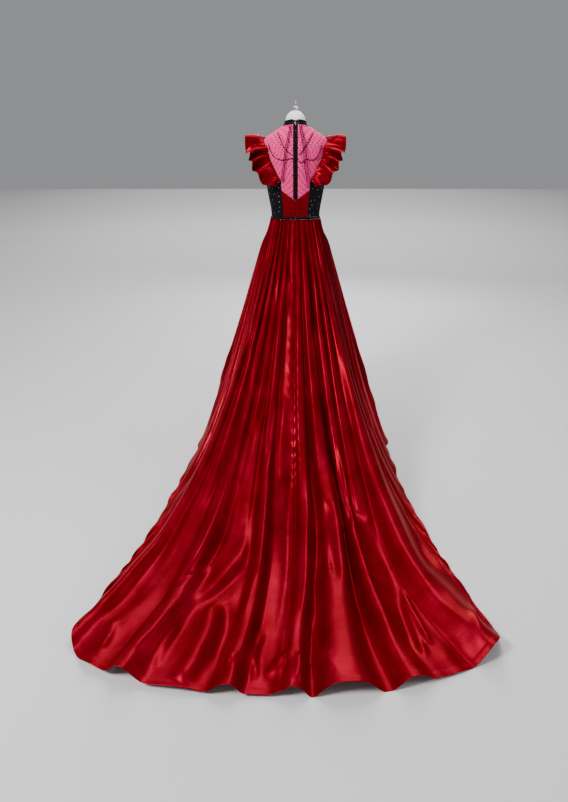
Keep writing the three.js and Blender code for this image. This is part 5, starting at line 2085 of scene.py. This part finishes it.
@dataclass
class FlutterSleeves:
    """The satin ruffles that run from the low back of the armhole over the shoulder."""

    wardrobe: Wardrobe
    thickness: float = 0.8
    columns: int = 260
    rows: int = 26
    pleat_depth: float = 5.4
    gather_depth: float = 0.9

    def surface(self, along: np.ndarray, reach: np.ndarray, seed: int) -> np.ndarray:
        """Points of the ruffle.

        Args:
            along: 0 to 1 along the armhole.
            reach: 0 at the armhole to 1 at the free edge.
            seed: the seed of its unevenness.

        Returns:
            Points in millimetres.
        """
        at = np.clip(along, 0, 1) * (len(RUFFLE_ROWS) - 1)
        row = row_at(RUFFLE_ROWS, at)
        places = np.array([
            (math.pi / 2 if r[2] == 0 else float(turn_of(r[0], r[1], r[2] > 0)), r[1]) for r in RUFFLE_ROWS
        ])
        here = row_at(places, at)
        root = over_form(here[..., 0], here[..., 1], np.full(at.shape, BODY_CLEARANCE + SATIN + 1.2))
        out = row[..., 3:6]
        last = len(RUFFLE_ROWS) - 1
        ahead = row_at(places, np.minimum(at + 0.02, last))
        behind = row_at(places, np.maximum(at - 0.02, 0))
        run = form_skin(ahead[..., 0], ahead[..., 1]) - form_skin(behind[..., 0], behind[..., 1])
        across = unit(np.cross(run, out))
        run = unit(run)
        noise = SoftNoise(seed, 16)
        phase = 2 * math.pi * RUFFLE_WAVES * (along + 0.02 * np.sin(5 * math.pi * along + 0.5))
        wave = np.sin(phase) + 0.2 * np.sin(2 * phase + 1.1) + 0.3 * noise.at(along * 0.99, 3 * reach)
        lift = wave * row[..., 6] * 1.15 * reach ** 0.9
        fine = self.gather_depth * np.sin(3 * phase + 2 * noise.at(along, 2 * reach))
        fine *= 1 - smooth(0.05, 0.5, reach)
        pleat = np.abs(np.sin(1.25 * phase + 1.6 * noise.at(along, 0.6 * reach + 5)))
        uneven = 0.5 + 0.6 * noise.at(along, 8.0)
        fine += self.pleat_depth * (0.6 - pleat ** 0.7) * smooth(0.05, 0.6, reach) * uneven
        fine += 0.5 * noise.at(along * 3.1, 9 * reach + 2) * smooth(0.1, 0.4, reach)
        sway = 0.18 * np.cos(phase) * row[..., 6] * reach ** 1.3
        point = root + out * reach[..., None] + across * (lift + fine)[..., None] + run * sway[..., None]
        point[..., 2] += 6 * np.sin(math.pi * reach) - 10 * reach ** 2 * row[..., 3] / 90
        return point

    def build(self) -> None:
        """Build both sleeves."""
        for side in Side:
            along, reach = np.meshgrid(np.linspace(0, 1, self.columns), np.linspace(0, 1, self.rows),
                                       indexing="ij")
            points = self.surface(along, reach, 61 if side is Side.RIGHT else 62)
            if side is Side.LEFT:
                points = mirrored(points)
            cloth = Cloth(points, flat_lengths(points), self.thickness)
            piece = settle(cloth.piece(f"ruffle_{side.value}_satin", self.wardrobe.satin), "red_satin",
                           f"ruffle_{side.value}")


@dataclass
class Studio:
    """The pale floor, the soft lights and the camera at the photograph's angle."""

    wardrobe: Wardrobe
    distance: float = 3.0
    height: float = 1.5
    tilt: float = 23.87
    lens: float = 25.97
    shift: float = -11.5 / 802

    def camera(self) -> None:
        """Set the camera behind the gown, tilted down as in the photograph."""
        data = bpy.data.cameras.new("camera")
        data.sensor_width = 36.0
        data.sensor_fit = "AUTO"
        data.lens = self.lens
        data.shift_x = self.shift
        data.clip_end = 50.0
        camera = bpy.data.objects.new("camera", data)
        camera.location = (0, -self.distance, self.height)
        camera.rotation_euler = (math.radians(90 - self.tilt), 0, 0)
        bpy.context.scene.collection.objects.link(camera)
        bpy.context.scene.camera = camera

    def light(self, name: str, place: tuple, aim: tuple, size: float, power: float, colour: tuple) -> None:
        """Hang one soft square light.

        Args:
            name: its name.
            place: where it hangs.
            aim: the point it faces.
            size: its side in metres.
            power: watts.
            colour: its colour.
        """
        data = bpy.data.lights.new(name, "AREA")
        data.size = size
        data.energy = power
        data.color = colour
        lamp = bpy.data.objects.new(name, data)
        lamp.location = place
        lamp.rotation_euler = (Vector(aim) - Vector(place)).to_track_quat("-Z", "Y").to_euler()
        bpy.context.scene.collection.objects.link(lamp)

    def build(self) -> None:
        """Build floor, world, lights and camera."""
        self.camera()
        deselect()
        bpy.ops.mesh.primitive_plane_add(size=40, location=(0, 0, 0))
        floor = named("studio_floor", self.wardrobe.floor)
        world = bpy.data.worlds.new("studio")
        world.use_nodes = True
        world.node_tree.nodes["Background"].inputs[0].default_value = (0.80, 0.81, 0.84, 1)
        world.node_tree.nodes["Background"].inputs[1].default_value = 0.36
        bpy.context.scene.world = world
        self.light("key", (-2.4, -2.9, 3.2), (0, -0.5, 0.6), 1.0, 215, (1.0, 0.98, 0.97))
        self.light("fill", (3.2, -2.0, 1.7), (0, -0.4, 0.7), 1.2, 45, (0.95, 0.97, 1.0))
        self.light("top", (0.3, 0.2, 3.8), (0, -0.4, 0.6), 1.6, 70, (1.0, 1.0, 1.0))
        self.light("sweep", (0, 7.0, 5.0), (0, 6.5, 0), 8.0, 420, (1.0, 1.0, 1.0))
        self.light("far", (0, 17.0, 7.0), (0, 16.5, 0), 14.0, 800, (1.0, 1.0, 1.0))
        self.light("front", (0.5, 3.4, 2.4), (0, 0, 0.9), 1.8, 90, (1.0, 1.0, 1.0))


def main() -> None:
    """Load the frame and build every sub-assembly in order."""
    logging.basicConfig(level=logging.INFO, format="%(message)s")
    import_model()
    wardrobe = Wardrobe()
    Studio(wardrobe).build()
    BeadDrape(wardrobe).build()
    DressForm(wardrobe).build()
    Bands(wardrobe).build()
    Skirt(wardrobe).build()
    Bodice(wardrobe).build()
    Yoke(wardrobe).build()
    FlutterSleeves(wardrobe).build()
    ZipClosure(wardrobe).build()


if __name__ == "__main__":
    main()
